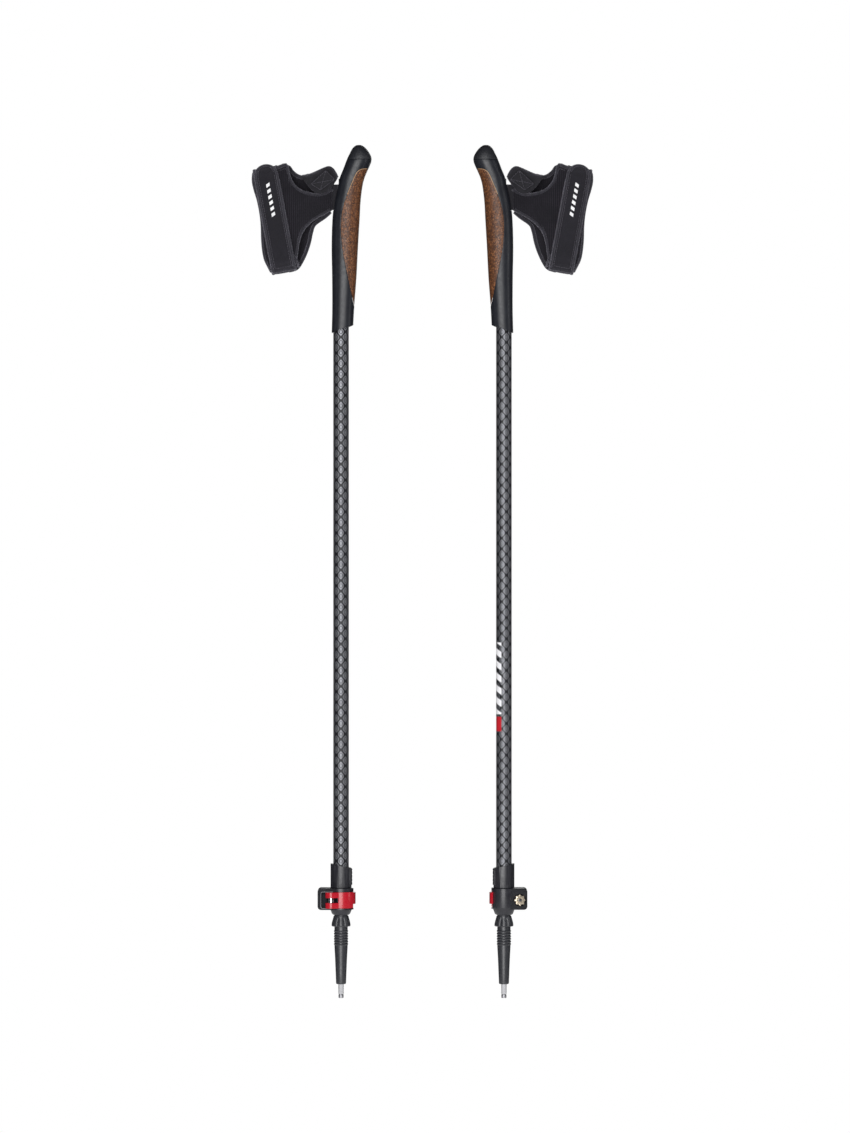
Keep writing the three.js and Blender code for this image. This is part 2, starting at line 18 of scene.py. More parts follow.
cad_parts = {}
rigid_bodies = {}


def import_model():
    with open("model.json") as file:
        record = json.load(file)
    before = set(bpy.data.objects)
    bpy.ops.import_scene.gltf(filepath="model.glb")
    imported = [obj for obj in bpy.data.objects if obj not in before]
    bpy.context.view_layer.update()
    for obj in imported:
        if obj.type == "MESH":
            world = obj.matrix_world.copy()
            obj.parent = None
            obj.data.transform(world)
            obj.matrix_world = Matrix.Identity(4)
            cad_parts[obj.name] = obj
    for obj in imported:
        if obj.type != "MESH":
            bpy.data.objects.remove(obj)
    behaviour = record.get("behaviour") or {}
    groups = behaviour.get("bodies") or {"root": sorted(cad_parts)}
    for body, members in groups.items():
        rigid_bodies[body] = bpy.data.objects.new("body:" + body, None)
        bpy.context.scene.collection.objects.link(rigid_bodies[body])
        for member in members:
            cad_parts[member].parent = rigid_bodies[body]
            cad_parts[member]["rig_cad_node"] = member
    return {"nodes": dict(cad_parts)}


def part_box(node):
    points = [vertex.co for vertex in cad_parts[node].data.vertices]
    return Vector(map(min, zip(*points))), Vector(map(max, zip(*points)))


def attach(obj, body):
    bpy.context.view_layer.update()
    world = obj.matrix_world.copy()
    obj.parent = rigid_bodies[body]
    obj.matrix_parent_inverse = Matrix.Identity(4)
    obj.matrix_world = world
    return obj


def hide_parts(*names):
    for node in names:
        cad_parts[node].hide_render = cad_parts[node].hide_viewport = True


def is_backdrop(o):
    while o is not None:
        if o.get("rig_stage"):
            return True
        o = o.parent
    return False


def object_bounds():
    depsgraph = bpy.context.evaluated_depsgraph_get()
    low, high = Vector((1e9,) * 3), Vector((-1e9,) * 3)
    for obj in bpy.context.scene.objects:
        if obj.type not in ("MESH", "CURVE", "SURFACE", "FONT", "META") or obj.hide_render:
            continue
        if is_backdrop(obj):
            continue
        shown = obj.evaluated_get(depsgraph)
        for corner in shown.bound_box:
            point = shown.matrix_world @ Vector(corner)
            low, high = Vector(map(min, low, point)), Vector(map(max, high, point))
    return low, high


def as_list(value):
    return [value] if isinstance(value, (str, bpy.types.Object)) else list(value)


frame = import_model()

LOG = logging.getLogger("poles")
MM = 0.001
ON_AXIS = 1e-9  # a radius in millimetres below which a point lies on the axis
WELD = 1e-4  # points nearer than this, in millimetres, are one point
SPAN_CUTS = 12  # straight pieces between two given points of a smooth path
Point = tuple[float, float, float]
Flat = tuple[float, float]


# ---- small geometry helpers ---------------------------------------------------------------------


def smooth_path(points: Sequence[Sequence[float]], steps: int,
                closed: bool = False) -> list[tuple[float, ...]]:
    """Runs a Catmull-Rom curve through some points, evenly spaced along its length.

    Args:
        points: The points to pass through, of any dimension.
        steps: How many equal steps to cut the curve into.
        closed: Whether the curve returns to its start.

    Returns:
        steps + 1 points on an open curve, or steps points on a closed one.
    """
    count = len(points)
    fine: list[tuple[float, ...]] = []
    spans = count if closed else count - 1
    for i in range(spans):
        ring = [i - 1, i, i + 1, i + 2]
        a, b, c, d = (points[k % count] if closed else points[min(max(k, 0), count - 1)] for k in ring)
        for s in range(SPAN_CUTS):
            t = s / SPAN_CUTS
            fine.append(tuple(
                0.5 * (2 * q + (r - p) * t + (2 * p - 5 * q + 4 * r - u) * t * t
                       + (3 * q - p - 3 * r + u) * t**3)
                for p, q, r, u in zip(a, b, c, d)))
    fine.append(tuple(points[0] if closed else points[-1]))
    lengths = [0.0]
    for p, q in zip(fine, fine[1:]):
        lengths.append(lengths[-1] + math.dist(p, q))
    result, at = [], 0
    for s in range(steps if closed else steps + 1):
        want = lengths[-1] * s / steps
        while at < len(lengths) - 2 and lengths[at + 1] < want:
            at += 1
        span = lengths[at + 1] - lengths[at]
        t = (want - lengths[at]) / span if span else 0.0
        result.append(tuple(p + (q - p) * t for p, q in zip(fine[at], fine[at + 1])))
    return result


def between(table: Sequence[Sequence[float]], at: float) -> list[float]:
    """Reads a smooth curve through rows of (position, value, ...) at one position.

    Args:
        table: Rows in rising order of their first number.
        at: The position to read.

    Returns:
        The values there, without the position.
    """
    at = min(max(at, table[0][0]), table[-1][0])
    k = max(i for i in range(len(table) - 1) if table[i][0] <= at)
    row = [table[min(max(j, 0), len(table) - 1)] for j in (k - 1, k, k + 1, k + 2)]
    span = row[2][0] - row[1][0]
    t = (at - row[1][0]) / span
    values = []
    for i in range(1, len(table[0])):
        low = (row[2][i] - row[0][i]) / max(row[2][0] - row[0][0], 1e-6) * span
        high = (row[3][i] - row[1][i]) / max(row[3][0] - row[1][0], 1e-6) * span
        h = (2 * t**3 - 3 * t**2 + 1, t**3 - 2 * t**2 + t, 3 * t**2 - 2 * t**3, t**3 - t**2)
        values.append(h[0] * row[1][i] + h[1] * low + h[2] * row[2][i] + h[3] * high)
    return values


def arc(centre: Flat, radius: float, start: float, end: float, steps: int) -> list[Flat]:
    """Points round a circle's arc, from one angle to another, in degrees."""
    turns = [math.radians(start + (end - start) * i / steps) for i in range(steps + 1)]
    return [(centre[0] + radius * math.cos(a), centre[1] + radius * math.sin(a)) for a in turns]


def mesh_object(name: str, points: Sequence[Sequence[float]],
                faces: Sequence[Sequence[int]]) -> bpy.types.Object:
    """Makes a mesh object from points in millimetres, with its faces turned outwards.

    Args:
        name: The object's name.
        points: Corner positions.
        faces: Corner numbers of each face.

    Returns:
        The new object, linked to the scene.
    """
    mesh = bpy.data.meshes.new(name)
    mesh.from_pydata([list(p) for p in points], [], faces)
    shell = bmesh.new()
    shell.from_mesh(mesh)
    bmesh.ops.remove_doubles(shell, verts=shell.verts, dist=WELD)
    bmesh.ops.recalc_face_normals(shell, faces=shell.faces)
    shell.to_mesh(mesh)
    shell.free()
    obj = bpy.data.objects.new(name, mesh)
    bpy.context.scene.collection.objects.link(obj)
    return obj


def skin(name: str, rings: Sequence[Sequence[Point]], looped: bool = False) -> bpy.types.Object:
    """Stretches a closed skin over a row of rings with the same number of points.

    Args:
        name: The object's name.
        rings: The rings, in order.
        looped: Whether the last ring joins the first; otherwise both ends are closed.

    Returns:
        The new object.
    """
    count, total = len(rings[0]), len(rings)
    points = [p for ring in rings for p in ring]
    faces: list[list[int]] = []
    for r in range(total if looped else total - 1):
        for i in range(count):
            j = (i + 1) % count
            after = (r + 1) % total
            faces.append([r * count + i, r * count + j, after * count + j, after * count + i])
    if not looped:
        faces += [list(range(count)), [(total - 1) * count + i for i in range(count)]]
    return mesh_object(name, points, faces)


def turned(name: str, profile: Sequence[Flat], segments: int = 64) -> bpy.types.Object:
    """Turns a profile of (radius, height) about Z; points on the axis close the ends."""
    rings = []
    for i in range(segments):
        a = 2 * math.pi * i / segments
        rings.append([(r * math.cos(a), r * math.sin(a), z) for r, z in profile])
    points = [p for ring in rings for p in ring]
    count = len(profile)
    faces = []
    for s in range(segments):
        for i in range(count - 1):
            a, b = s * count + i, ((s + 1) % segments) * count + i
            corners = [a, a + 1, b + 1, b]
            starts_on_axis, ends_on_axis = profile[i][0] < ON_AXIS, profile[i + 1][0] < ON_AXIS
            if starts_on_axis:
                corners = [a, a + 1, b + 1]
            elif ends_on_axis:
                corners = [a, a + 1, b]
            if not (starts_on_axis and ends_on_axis):
                faces.append(corners)
    return mesh_object(name, points, faces)


def slab(name: str, points: Sequence[Point]) -> bpy.types.Object:
    """Closes two copies of one outline, given one after the other, into a slab."""
    count = len(points) // 2
    faces = [[i, (i + 1) % count, count + (i + 1) % count, count + i] for i in range(count)]
    faces += [list(range(count)), list(range(count, 2 * count))]
    return mesh_object(name, points, faces)


def plate(name: str, outline: Sequence[Flat], low: float, high: float) -> bpy.types.Object:
    """Gives an outline in X and Y a thickness along Z."""
    return slab(name, [(x, y, z) for z in (low, high) for x, y in outline])


def side_plate(name: str, outline: Sequence[Flat], near: float, far: float) -> bpy.types.Object:
    """Gives an outline in X and Z a thickness along Y."""
    return slab(name, [(x, y, z) for y in (near, far) for x, z in outline])


def box_block(name: str, low: Point, high: Point) -> bpy.types.Object:
    """Makes a plain block, used only as a cutter."""
    outline = [(low[0], low[1]), (high[0], low[1]), (high[0], high[1]), (low[0], high[1])]
    return plate(name, outline, low[2], high[2])


def bake_modifiers(obj: bpy.types.Object) -> bpy.types.Object:
    """Replaces an object's mesh with its modified one and drops the modifiers."""
    graph = bpy.context.evaluated_depsgraph_get()
    mesh = bpy.data.meshes.new_from_object(obj.evaluated_get(graph))
    old = obj.data
    obj.modifiers.clear()
    obj.data = mesh
    bpy.data.meshes.remove(old)
    return obj


def use_up(obj: bpy.types.Object) -> None:
    """Removes an object and its mesh once another has taken in its shape."""
    mesh = obj.data
    bpy.data.objects.remove(obj)
    bpy.data.meshes.remove(mesh)


def combine(obj: bpy.types.Object, tools: Sequence[bpy.types.Object], how: str) -> bpy.types.Object:
    """Joins, cuts or intersects an object with some tools, which are used up.

    Args:
        obj: The object to change.
        tools: The closed tool meshes.
        how: UNION, DIFFERENCE or INTERSECT.

    Returns:
        The same object.
    """
    for tool in tools:
        step = obj.modifiers.new("work", "BOOLEAN")
        step.operation = how
        step.solver = "EXACT"
        step.object = tool
        bake_modifiers(obj)
        use_up(tool)
    return obj


def cut(obj: bpy.types.Object, *tools: bpy.types.Object) -> bpy.types.Object:
    """Cuts tools out of an object."""
    return combine(obj, tools, "DIFFERENCE")


def join(obj: bpy.types.Object, *tools: bpy.types.Object) -> bpy.types.Object:
    """Joins tools on to an object as one skin."""
    return combine(obj, tools, "UNION")


def round_edges(obj: bpy.types.Object, width: float, segments: int = 2,
                angle: float = 35) -> bpy.types.Object:
    """Rounds an object's sharp edges by a width in millimetres and shades it smooth."""
    bevel = obj.modifiers.new("round", "BEVEL")
    bevel.width = width
    bevel.segments = segments
    bevel.limit_method = "ANGLE"
    bevel.angle_limit = math.radians(angle)
    bevel.use_clamp_overlap = True
    bake_modifiers(obj)
    return shade(obj)


def shade(obj: bpy.types.Object, angle: float = 32) -> bpy.types.Object:
    """Shades a mesh smooth except at edges sharper than an angle in degrees."""
    obj.data.polygons.foreach_set("use_smooth", [True] * len(obj.data.polygons))
    obj.data.set_sharp_from_angle(angle=math.radians(angle))
    return obj


def moved(obj: bpy.types.Object, *steps: Matrix) -> bpy.types.Object:
    """Moves an object's mesh by some matrices, in order."""
    for step in steps:
        obj.data.transform(step)
    return obj


def spin(degrees: float, axis: str) -> Matrix:
    """A turn about one axis, in degrees."""
    return Matrix.Rotation(math.radians(degrees), 4, axis)


def shift(x: float, y: float, z: float) -> Matrix:
    """A move in millimetres."""
    return Matrix.Translation((x, y, z))


def joined(name: str, parts: Sequence[bpy.types.Object]) -> bpy.types.Object:
    """Gathers several meshes into one object, such as a row of stitches.

    Args:
        name: The name of the result.
        parts: The objects, which are used up.

    Returns:
        One object that holds them all.
    """
    whole = bmesh.new()
    for part in parts:
        whole.from_mesh(part.data)
        use_up(part)
    mesh = bpy.data.meshes.new(name)
    whole.to_mesh(mesh)
    whole.free()
    obj = bpy.data.objects.new(name, mesh)
    bpy.context.scene.collection.objects.link(obj)
    return shade(obj, 50)


def piping(name: str, path: Sequence[Point], across: float, thick: float,
           outward: Callable[[int], Vector], looped: bool = False,
           corners: int = 10) -> bpy.types.Object:
    """Sweeps a flattened round section along a path, as binding tape or thread.

    Args:
        name: The object's name.
        path: The points that the middle of the tape follows.
        across: The tape's width in millimetres.
        thick: The tape's thickness in millimetres.
        outward: Gives the direction that the tape's flat faces at each point.
        looped: Whether the path closes on itself.
        corners: How many corners the section has.

    Returns:
        The new object.
    """
    rings = []
    count = len(path)
    for i, at in enumerate(path):
        before = path[(i - 1) % count] if looped or i else path[i]
        after = path[(i + 1) % count] if looped or i < count - 1 else path[i]
        along = (Vector(after) - Vector(before)).normalized()
        up = outward(i)
        up = (up - along * up.dot(along)).normalized()
        side = along.cross(up)
        ring = []
        for k in range(corners):
            a = 2 * math.pi * k / corners
            offset = side * (across / 2 * math.cos(a)) + up * (thick / 2 * math.sin(a))
            ring.append(tuple(Vector(at) + offset))
        rings.append(ring)
    return shade(skin(name, rings, looped), 70)


# ---- finishes -----------------------------------------------------------------------------------


class Wires:
    """A short way to write the node tree of one material."""

    def __init__(self, name: str) -> None:
        """Starts a material with one Principled shader."""
        self.material = bpy.data.materials.new(name)
        self.material.use_nodes = True
        self.tree = self.material.node_tree
        self.tree.nodes.clear()
        output = self.tree.nodes.new("ShaderNodeOutputMaterial")
        self.shader = self.tree.nodes.new("ShaderNodeBsdfPrincipled")
        self.tree.links.new(self.shader.outputs["BSDF"], output.inputs["Surface"])
        self.place = self.tree.nodes.new("ShaderNodeTexCoord").outputs["Object"]

    def fixed(self, **values: object) -> None:
        """Sets plain numbers and colours on the shader's own sockets, named with _ for a space."""
        for key, value in values.items():
            self.shader.inputs[key.replace("_", " ")].default_value = value

    def link(self, socket: bpy.types.NodeSocket, name: str) -> None:
        """Leads a value or colour to one of the shader's sockets."""
        self.tree.links.new(socket, self.shader.inputs[name])

    def _feed(self, node: bpy.types.Node, index: int, value: object) -> None:
        """Sets or links one input of a node."""
        if isinstance(value, bpy.types.NodeSocket):
            self.tree.links.new(value, node.inputs[index])
        elif value is not None:
            node.inputs[index].default_value = value

    def maths(self, what: str, a: object, b: object = None, c: object = None) -> bpy.types.NodeSocket:
        """Adds a Math node."""
        node = self.tree.nodes.new("ShaderNodeMath")
        node.operation = what
        for i, value in enumerate((a, b, c)):
            self._feed(node, i, value)
        return node.outputs[0]

    def scaled(self, value: object, low: float, high: float, to_low: float = 0.0,
               to_high: float = 1.0) -> bpy.types.NodeSocket:
        """Maps a range of values on to another with smooth ends."""
        node = self.tree.nodes.new("ShaderNodeMapRange")
        node.interpolation_type = "SMOOTHSTEP"
        for i, number in enumerate((value, low, high, to_low, to_high)):
            self._feed(node, i, number)
        return node.outputs[0]

    def blend(self, factor: object, a: object, b: object) -> bpy.types.NodeSocket:
        """Mixes two colours."""
        node = self.tree.nodes.new("ShaderNodeMix")
        node.data_type = "RGBA"
        self._feed(node, 0, factor)
        self._feed(node, 6, (*a, 1) if isinstance(a, tuple) else a)
        self._feed(node, 7, (*b, 1) if isinstance(b, tuple) else b)
        return node.outputs[2]

    def parts(self) -> tuple[bpy.types.NodeSocket, bpy.types.NodeSocket, bpy.types.NodeSocket]:
        """Gives the place on the piece as X, Y and Z in millimetres."""
        scale = self.tree.nodes.new("ShaderNodeVectorMath")
        scale.operation = "SCALE"
        self.tree.links.new(self.place, scale.inputs[0])
        scale.inputs["Scale"].default_value = 1 / MM
        split = self.tree.nodes.new("ShaderNodeSeparateXYZ")
        self.tree.links.new(scale.outputs[0], split.inputs[0])
        return split.outputs[0], split.outputs[1], split.outputs[2]

    def stretched(self, x: float, y: float, z: float) -> bpy.types.NodeSocket:
        """Gives the place scaled unevenly, to draw out a grain."""
        node = self.tree.nodes.new("ShaderNodeVectorMath")
        node.operation = "MULTIPLY"
        self.tree.links.new(self.place, node.inputs[0])
        node.inputs[1].default_value = (x, y, z)
        return node.outputs[0]

    def noise(self, size: float, detail: float = 3,
              where: bpy.types.NodeSocket | None = None) -> bpy.types.NodeSocket:
        """Adds noise whose lumps are about a size in millimetres across."""
        node = self.tree.nodes.new("ShaderNodeTexNoise")
        self.tree.links.new(where or self.place, node.inputs["Vector"])
        node.inputs["Scale"].default_value = 1 / (size * MM)
        node.inputs["Detail"].default_value = detail
        return node.outputs[0]

    def grains(self, size: float, where: bpy.types.NodeSocket | None = None,
               output: str = "Distance") -> bpy.types.NodeSocket:
        """Adds packed grains about a size in millimetres across."""
        node = self.tree.nodes.new("ShaderNodeTexVoronoi")
        self.tree.links.new(where or self.place, node.inputs["Vector"])
        node.inputs["Scale"].default_value = 1 / (size * MM)
        return node.outputs[output]

    def bump(self, height: bpy.types.NodeSocket, depth: float) -> None:
        """Raises the surface by a height map, by a depth in millimetres."""
        node = self.tree.nodes.new("ShaderNodeBump")
        node.inputs["Strength"].default_value = 1.0
        node.inputs["Distance"].default_value = depth * MM
        self.tree.links.new(height, node.inputs["Height"])
        self.tree.links.new(node.outputs[0], self.shader.inputs["Normal"])


Colour = tuple[float, float, float]


@dataclass(frozen=True)
class Moulded:
    """Moulded rubber or plastic: a faint cloud of wear, fine pores and a soft gloss."""

    name: str
    slot: str
    colour: Colour
    worn: Colour
    rough: tuple[float, float] = (0.4, 0.52)
    pore: float = 0.35
    depth: float = 0.02
    gloss: float = 0.5

    def make(self) -> bpy.types.Material:
        """Builds the material."""
        w = Wires(self.name)
        cloud = w.scaled(w.noise(14, 5), 0.4, 0.75)
        w.link(w.blend(cloud, self.colour, self.worn), "Base Color")
        fine = w.noise(self.pore, 3)
        w.link(w.scaled(w.noise(3.0, 4), 0.3, 0.7, *self.rough), "Roughness")
        w.fixed(Specular_IOR_Level=self.gloss)
        w.bump(fine, self.depth)
        return w.material


@dataclass(frozen=True)
class Stippled:
    """Rubber with a leathery stipple, as on the pole's head."""

    name: str
    slot: str
    colour: Colour
    raised: Colour
    grain: float = 0.9
    gloss: float = 0.4

    def make(self) -> bpy.types.Material:
        """Builds the material."""
        w = Wires(self.name)
        cells = w.grains(self.grain)
        w.link(w.blend(w.scaled(cells, 0.15, 0.6), self.raised, self.colour), "Base Color")
        w.link(w.scaled(w.noise(2.0, 4), 0.3, 0.7, 0.42, 0.56), "Roughness")
        w.fixed(Specular_IOR_Level=self.gloss)
        w.bump(w.scaled(cells, 0.05, 0.65, 1, 0), 0.12)
        return w.material


@dataclass(frozen=True)
class Cork:
    """Pressed cork: packed granules in several browns, with dark pits and a sealed surface."""

    name: str
    slot: str
    light: Colour
    middle: Colour
    dark: Colour
    granule: float = 1.5

    def make(self) -> bpy.types.Material:
        """Builds the material."""
        w = Wires(self.name)
        cells = w.grains(self.granule, w.stretched(1, 1, 0.75), "Color")
        tone = w.tree.nodes.new("ShaderNodeSeparateColor")
        w.tree.links.new(cells, tone.inputs[0])
        brown = w.blend(w.scaled(tone.outputs[0], 0.45, 0.95), self.middle, self.light)
        brown = w.blend(w.scaled(tone.outputs[1], 0.66, 0.9), brown, self.dark)
        pits = w.scaled(w.noise(0.8, 4), 0.6, 0.7)
        brown = w.blend(pits, brown, self.dark)
        w.link(w.blend(w.scaled(w.noise(9, 3), 0.35, 0.75, 0, 0.35), brown, self.middle), "Base Color")
        w.link(w.scaled(tone.outputs[2], 0, 1, 0.42, 0.62), "Roughness")
        w.fixed(Specular_IOR_Level=0.45)
        w.bump(w.maths("SUBTRACT", w.noise(0.7, 3), pits), 0.08)
        return w.material


@dataclass(frozen=True)
class Metal:
    """Bare metal with fine turning or drawing marks."""

    name: str
    slot: str
    colour: Colour
    rough: tuple[float, float] = (0.2, 0.36)
    stretch: tuple[float, float, float] = (1.0, 1.0, 14.0)

    def make(self) -> bpy.types.Material:
        """Builds the material."""
        w = Wires(self.name)
        lines = w.noise(0.9, 4, w.stretched(*self.stretch))
        darker = tuple(0.72 * c for c in self.colour)
        w.link(w.blend(w.scaled(lines, 0.3, 0.7), darker, self.colour), "Base Color")
        w.link(w.scaled(lines, 0.3, 0.7, *self.rough), "Roughness")
        w.fixed(Metallic=1.0)
        w.bump(lines, 0.012)
        return w.material


@dataclass(frozen=True)
class HexPrint:
    """Black lacquer printed with columns of nested long hexagons, and a plain mark low on one side."""

    name: str
    slot: str
    ink: Colour
    ground: Colour
    radius: float = 8.0
    columns: int = 10
    pitch: float = 10.9
    half_width: float = 3.35
    half_height: float = 4.7
    steepness: float = 1.0
    turn: float = 0.5
    mark_low: float = 275.0
    mark_split: float = 293.0
    mark_high: float = 367.0
    mark_edge: float = 0.4
    mark_gap: float = 2.5
    mark_turn: float = 34.0
    mark_half: float = 35.0
    bar_pitch: float = 12.5
    bar_gap: float = 5.6
    bar_lean: float = 0.55
    bar_ink: Colour = (0.78, 0.78, 0.8)
    band_ink: Colour = (0.45, 0.01, 0.02)

    def _cell(self, w: Wires, along: object, up: object, offset: float) -> bpy.types.NodeSocket:
        """How far a point is from the nearest hexagon's middle, 1 on its rim, in one set of columns."""
        pair = 2 * math.pi * self.radius / (self.columns / 2)
        across = w.maths("WRAP", w.maths("ADD", along, offset * pair), pair / 2, -pair / 2)
        height = w.maths("WRAP", w.maths("ADD", up, offset * self.pitch), self.pitch / 2, -self.pitch / 2)
        across, height = w.maths("ABSOLUTE", across), w.maths("ABSOLUTE", height)
        slant = w.maths("MULTIPLY_ADD", across, self.steepness, height)
        slant = w.maths("DIVIDE", slant, self.half_height)
        return w.maths("MAXIMUM", slant, w.maths("DIVIDE", across, self.half_width))

    def make(self) -> bpy.types.Material:
        """Builds the material."""
        w = Wires(self.name)
        x, y, z = w.parts()
        angle = w.maths("ARCTAN2", y, x)
        column = 2 * math.pi * self.radius / self.columns
        along = w.maths("MULTIPLY_ADD", angle, self.radius, column * self.turn)
        distance = w.maths("MINIMUM", self._cell(w, along, z, 0.0), self._cell(w, along, z, 0.5))
        wave = w.maths("ABSOLUTE", w.maths("SINE", w.maths("MULTIPLY", distance, 2 * math.pi)))
        lines = w.maths("MULTIPLY", w.scaled(wave, 0.45, 0.85), w.scaled(distance, 1.12, 1.0))
        worn = w.maths("MULTIPLY", lines, w.scaled(w.noise(5, 4), 0.25, 0.6, 0.7, 1.0))
        colour = w.blend(worn, self.ground, self.ink)
        edge = self.mark_edge
        ahead = w.maths("ABSOLUTE", w.maths("SUBTRACT", angle, math.radians(self.mark_turn)))
        side = w.scaled(ahead, math.radians(self.mark_half + 2), math.radians(self.mark_half))
        slanted = w.maths("ADD", z, w.maths("MULTIPLY", along, self.bar_lean))
        bars = w.maths("WRAP", slanted, 0.0, self.bar_pitch)
        bars = w.scaled(bars, self.bar_gap, self.bar_gap + edge)
        white = w.maths("MULTIPLY", bars, w.scaled(z, self.mark_split - edge, self.mark_split))
        white = w.maths("MULTIPLY", white, w.scaled(z, self.mark_high, self.mark_high - edge))
        band_top = self.mark_split - self.mark_gap
        red = w.maths("MULTIPLY", w.scaled(z, self.mark_low, self.mark_low + edge),
                      w.scaled(z, band_top, band_top - edge))
        white, red = w.maths("MULTIPLY", white, side), w.maths("MULTIPLY", red, side)
        marks = w.maths("MAXIMUM", white, red)
        colour = w.blend(white, colour, self.bar_ink)
        colour = w.blend(red, colour, self.band_ink)
        w.link(colour, "Base Color")
        w.link(w.maths("MULTIPLY", worn, w.maths("SUBTRACT", 1.0, marks)), "Metallic")
        w.link(w.maths("MULTIPLY_ADD", worn, 0.06, 0.46), "Roughness")
        w.fixed(Specular_IOR_Level=0.3)
        w.bump(w.maths("ADD", worn, w.noise(0.4, 2)), 0.015)
        return w.material


@dataclass(frozen=True)
class Woven:
    """Woven tape: ribs across and along the weave, with a dull sheen."""

    name: str
    slot: str
    colour: Colour
    glint: Colour
    rib: float = 0.9
    rough: float = 0.72
    sheen: float = 0.35

    def make(self) -> bpy.types.Material:
        """Builds the material."""
        w = Wires(self.name)
        x, y, z = w.parts()
        turn = 2 * math.pi / self.rib
        cosine, sine = 0.98, 0.18
        across = w.maths("ADD", w.maths("MULTIPLY", x, cosine), w.maths("MULTIPLY", z, sine))
        along = w.maths("SUBTRACT", w.maths("MULTIPLY", z, cosine), w.maths("MULTIPLY", x, sine))
        warp = w.maths("SINE", w.maths("MULTIPLY", across, turn))
        weft = w.maths("SINE", w.maths("MULTIPLY", along, turn))
        cloth = w.maths("MULTIPLY", warp, weft)
        depth = w.maths("MULTIPLY", y, 0.4)
        ripple = w.maths("SINE", w.maths("MULTIPLY", depth, turn))
        cloth = w.maths("ADD", cloth, w.maths("MULTIPLY", ripple, 0.3))
        tone = w.maths("MULTIPLY", w.scaled(cloth, -0.6, 1.0), w.scaled(w.noise(6, 4), 0.3, 0.7, 0.5, 1))
        w.link(w.blend(tone, self.colour, self.glint), "Base Color")
        w.link(w.scaled(w.noise(1.2, 3), 0.3, 0.7, self.rough - 0.08, self.rough + 0.08), "Roughness")
        w.fixed(Sheen_Weight=self.sheen, Sheen_Roughness=0.45, Sheen_Tint=(0.75, 0.72, 0.85, 1),
                Specular_IOR_Level=0.35)
        w.bump(cloth, 0.16)
        return w.material


@dataclass(frozen=True)
class SpacerMesh:
    """Knitted spacer mesh: fine vertical ribs with rows of small holes."""

    name: str
    slot: str
    colour: Colour
    rib_colour: Colour
    rib: float = 2.1
    hole: float = 1.5

    def make(self) -> bpy.types.Material:
        """Builds the material."""
        w = Wires(self.name)
        x, y, z = w.parts()
        ribs = w.maths("SINE", w.maths("MULTIPLY", x, 2 * math.pi / self.rib))
        rows = w.maths("SINE", w.maths("MULTIPLY", z, 2 * math.pi / self.hole))
        holes = w.maths("MULTIPLY", ribs, rows)
        knit = w.maths("MULTIPLY_ADD", holes, 0.5, ribs)
        patches = w.scaled(w.noise(18, 3), 0.35, 0.7, 0.15, 1)
        tone = w.maths("MULTIPLY", w.scaled(knit, -0.2, 1.4), patches)
        w.link(w.blend(tone, self.colour, self.rib_colour), "Base Color")
        w.link(w.scaled(w.noise(1.0, 3), 0.3, 0.7, 0.76, 0.92), "Roughness")
        w.fixed(Sheen_Weight=0.2, Sheen_Roughness=0.5, Sheen_Tint=(0.75, 0.7, 0.85, 1),
                Specular_IOR_Level=0.25)
        w.bump(knit, 0.22)
        return w.material


GRIP_RUBBER = Moulded("satin_grip_rubber", "grip_rubber", (0.008, 0.009, 0.0135),
                      (0.012, 0.0135, 0.0185), (0.36, 0.45), 0.5, 0.01, 0.4)
CAP_RUBBER = Stippled("stippled_cap_rubber", "cap_rubber", (0.011, 0.012, 0.016),
                      (0.016, 0.017, 0.022), 0.7, 0.55)
CORK = Cork("pressed_cork", "cork", (0.26, 0.1, 0.034), (0.078, 0.026, 0.008), (0.028, 0.009, 0.004), 0.8)
# Pale lip along the cork's top edge: its pale tan colour is a painted highlight along the seam.
CORK_RIM_HIGHLIGHT = Moulded("cork_rim_varnish", "cork", (0.42, 0.26, 0.14), (0.3, 0.17, 0.08), (0.35, 0.5))
CLAMP_NYLON = Moulded("clamp_nylon", "clamp_plastic", (0.0115, 0.0115, 0.0155),
                      (0.0175, 0.0175, 0.023), (0.3, 0.4), 0.25, 0.006)
EAR_NYLON = Stippled("stippled_nylon", "clamp_plastic", (0.007, 0.0075, 0.0095),
                     (0.014, 0.015, 0.018), 0.8, 0.14)
# Pale bead round the lever channel: its light grey colour is a painted highlight on the frame's edge.
FRAME_EDGE_HIGHLIGHT = Moulded("polished_frame_edge", "clamp_plastic", (0.1, 0.1, 0.112),
                     (0.16, 0.16, 0.175), (0.25, 0.35), 0.4, 0.004)
RED_GLOSS = Moulded("red_gloss", "red_lever", (0.41, 0.007, 0.018), (0.36, 0.006, 0.015),
                    (0.24, 0.3), 1.2, 0.004)
BRIGHT_STEEL = Metal("bright_steel", "steel", (0.6, 0.6, 0.62), (0.12, 0.26))
BLACK_STEEL = Metal("blackened_steel", "steel", (0.012, 0.012, 0.014), (0.45, 0.6))
NUT_METAL = Metal("pale_brass", "nut_metal", (0.88, 0.77, 0.6), (0.3, 0.45), (8.0, 1.0, 8.0))
CARBIDE_GREY = Metal("carbide_grey", "carbide", (0.34, 0.34, 0.36), (0.35, 0.5), (3.0, 3.0, 3.0))
TIP_NYLON = Moulded("satin_tip_nylon", "tip_plastic", (0.014, 0.015, 0.019),
                    (0.02, 0.021, 0.026), (0.36, 0.44), 0.9, 0.001, 0.65)
TUBE_PRINT = HexPrint("hexagon_print", "printed_tube", (0.26, 0.265, 0.288), (0.003, 0.003, 0.005))
TUBE_PRINT_TURNED = replace(TUBE_PRINT, name="hexagon_print_turned", turn=0.0)
TUBE_PLAIN = Moulded("black_anodised_tube", "plain_tube", (0.012, 0.013, 0.017),
                     (0.02, 0.021, 0.026), (0.2, 0.3), 0.4, 0.008)
BINDING = Woven("binding_tape", "webbing", (0.011, 0.0105, 0.0145), (0.03, 0.028, 0.038), 0.6, 0.5, 0.45)
WEBBING = Woven("strap_webbing", "webbing", (0.006, 0.0055, 0.008), (0.017, 0.0155, 0.021), 1.1)
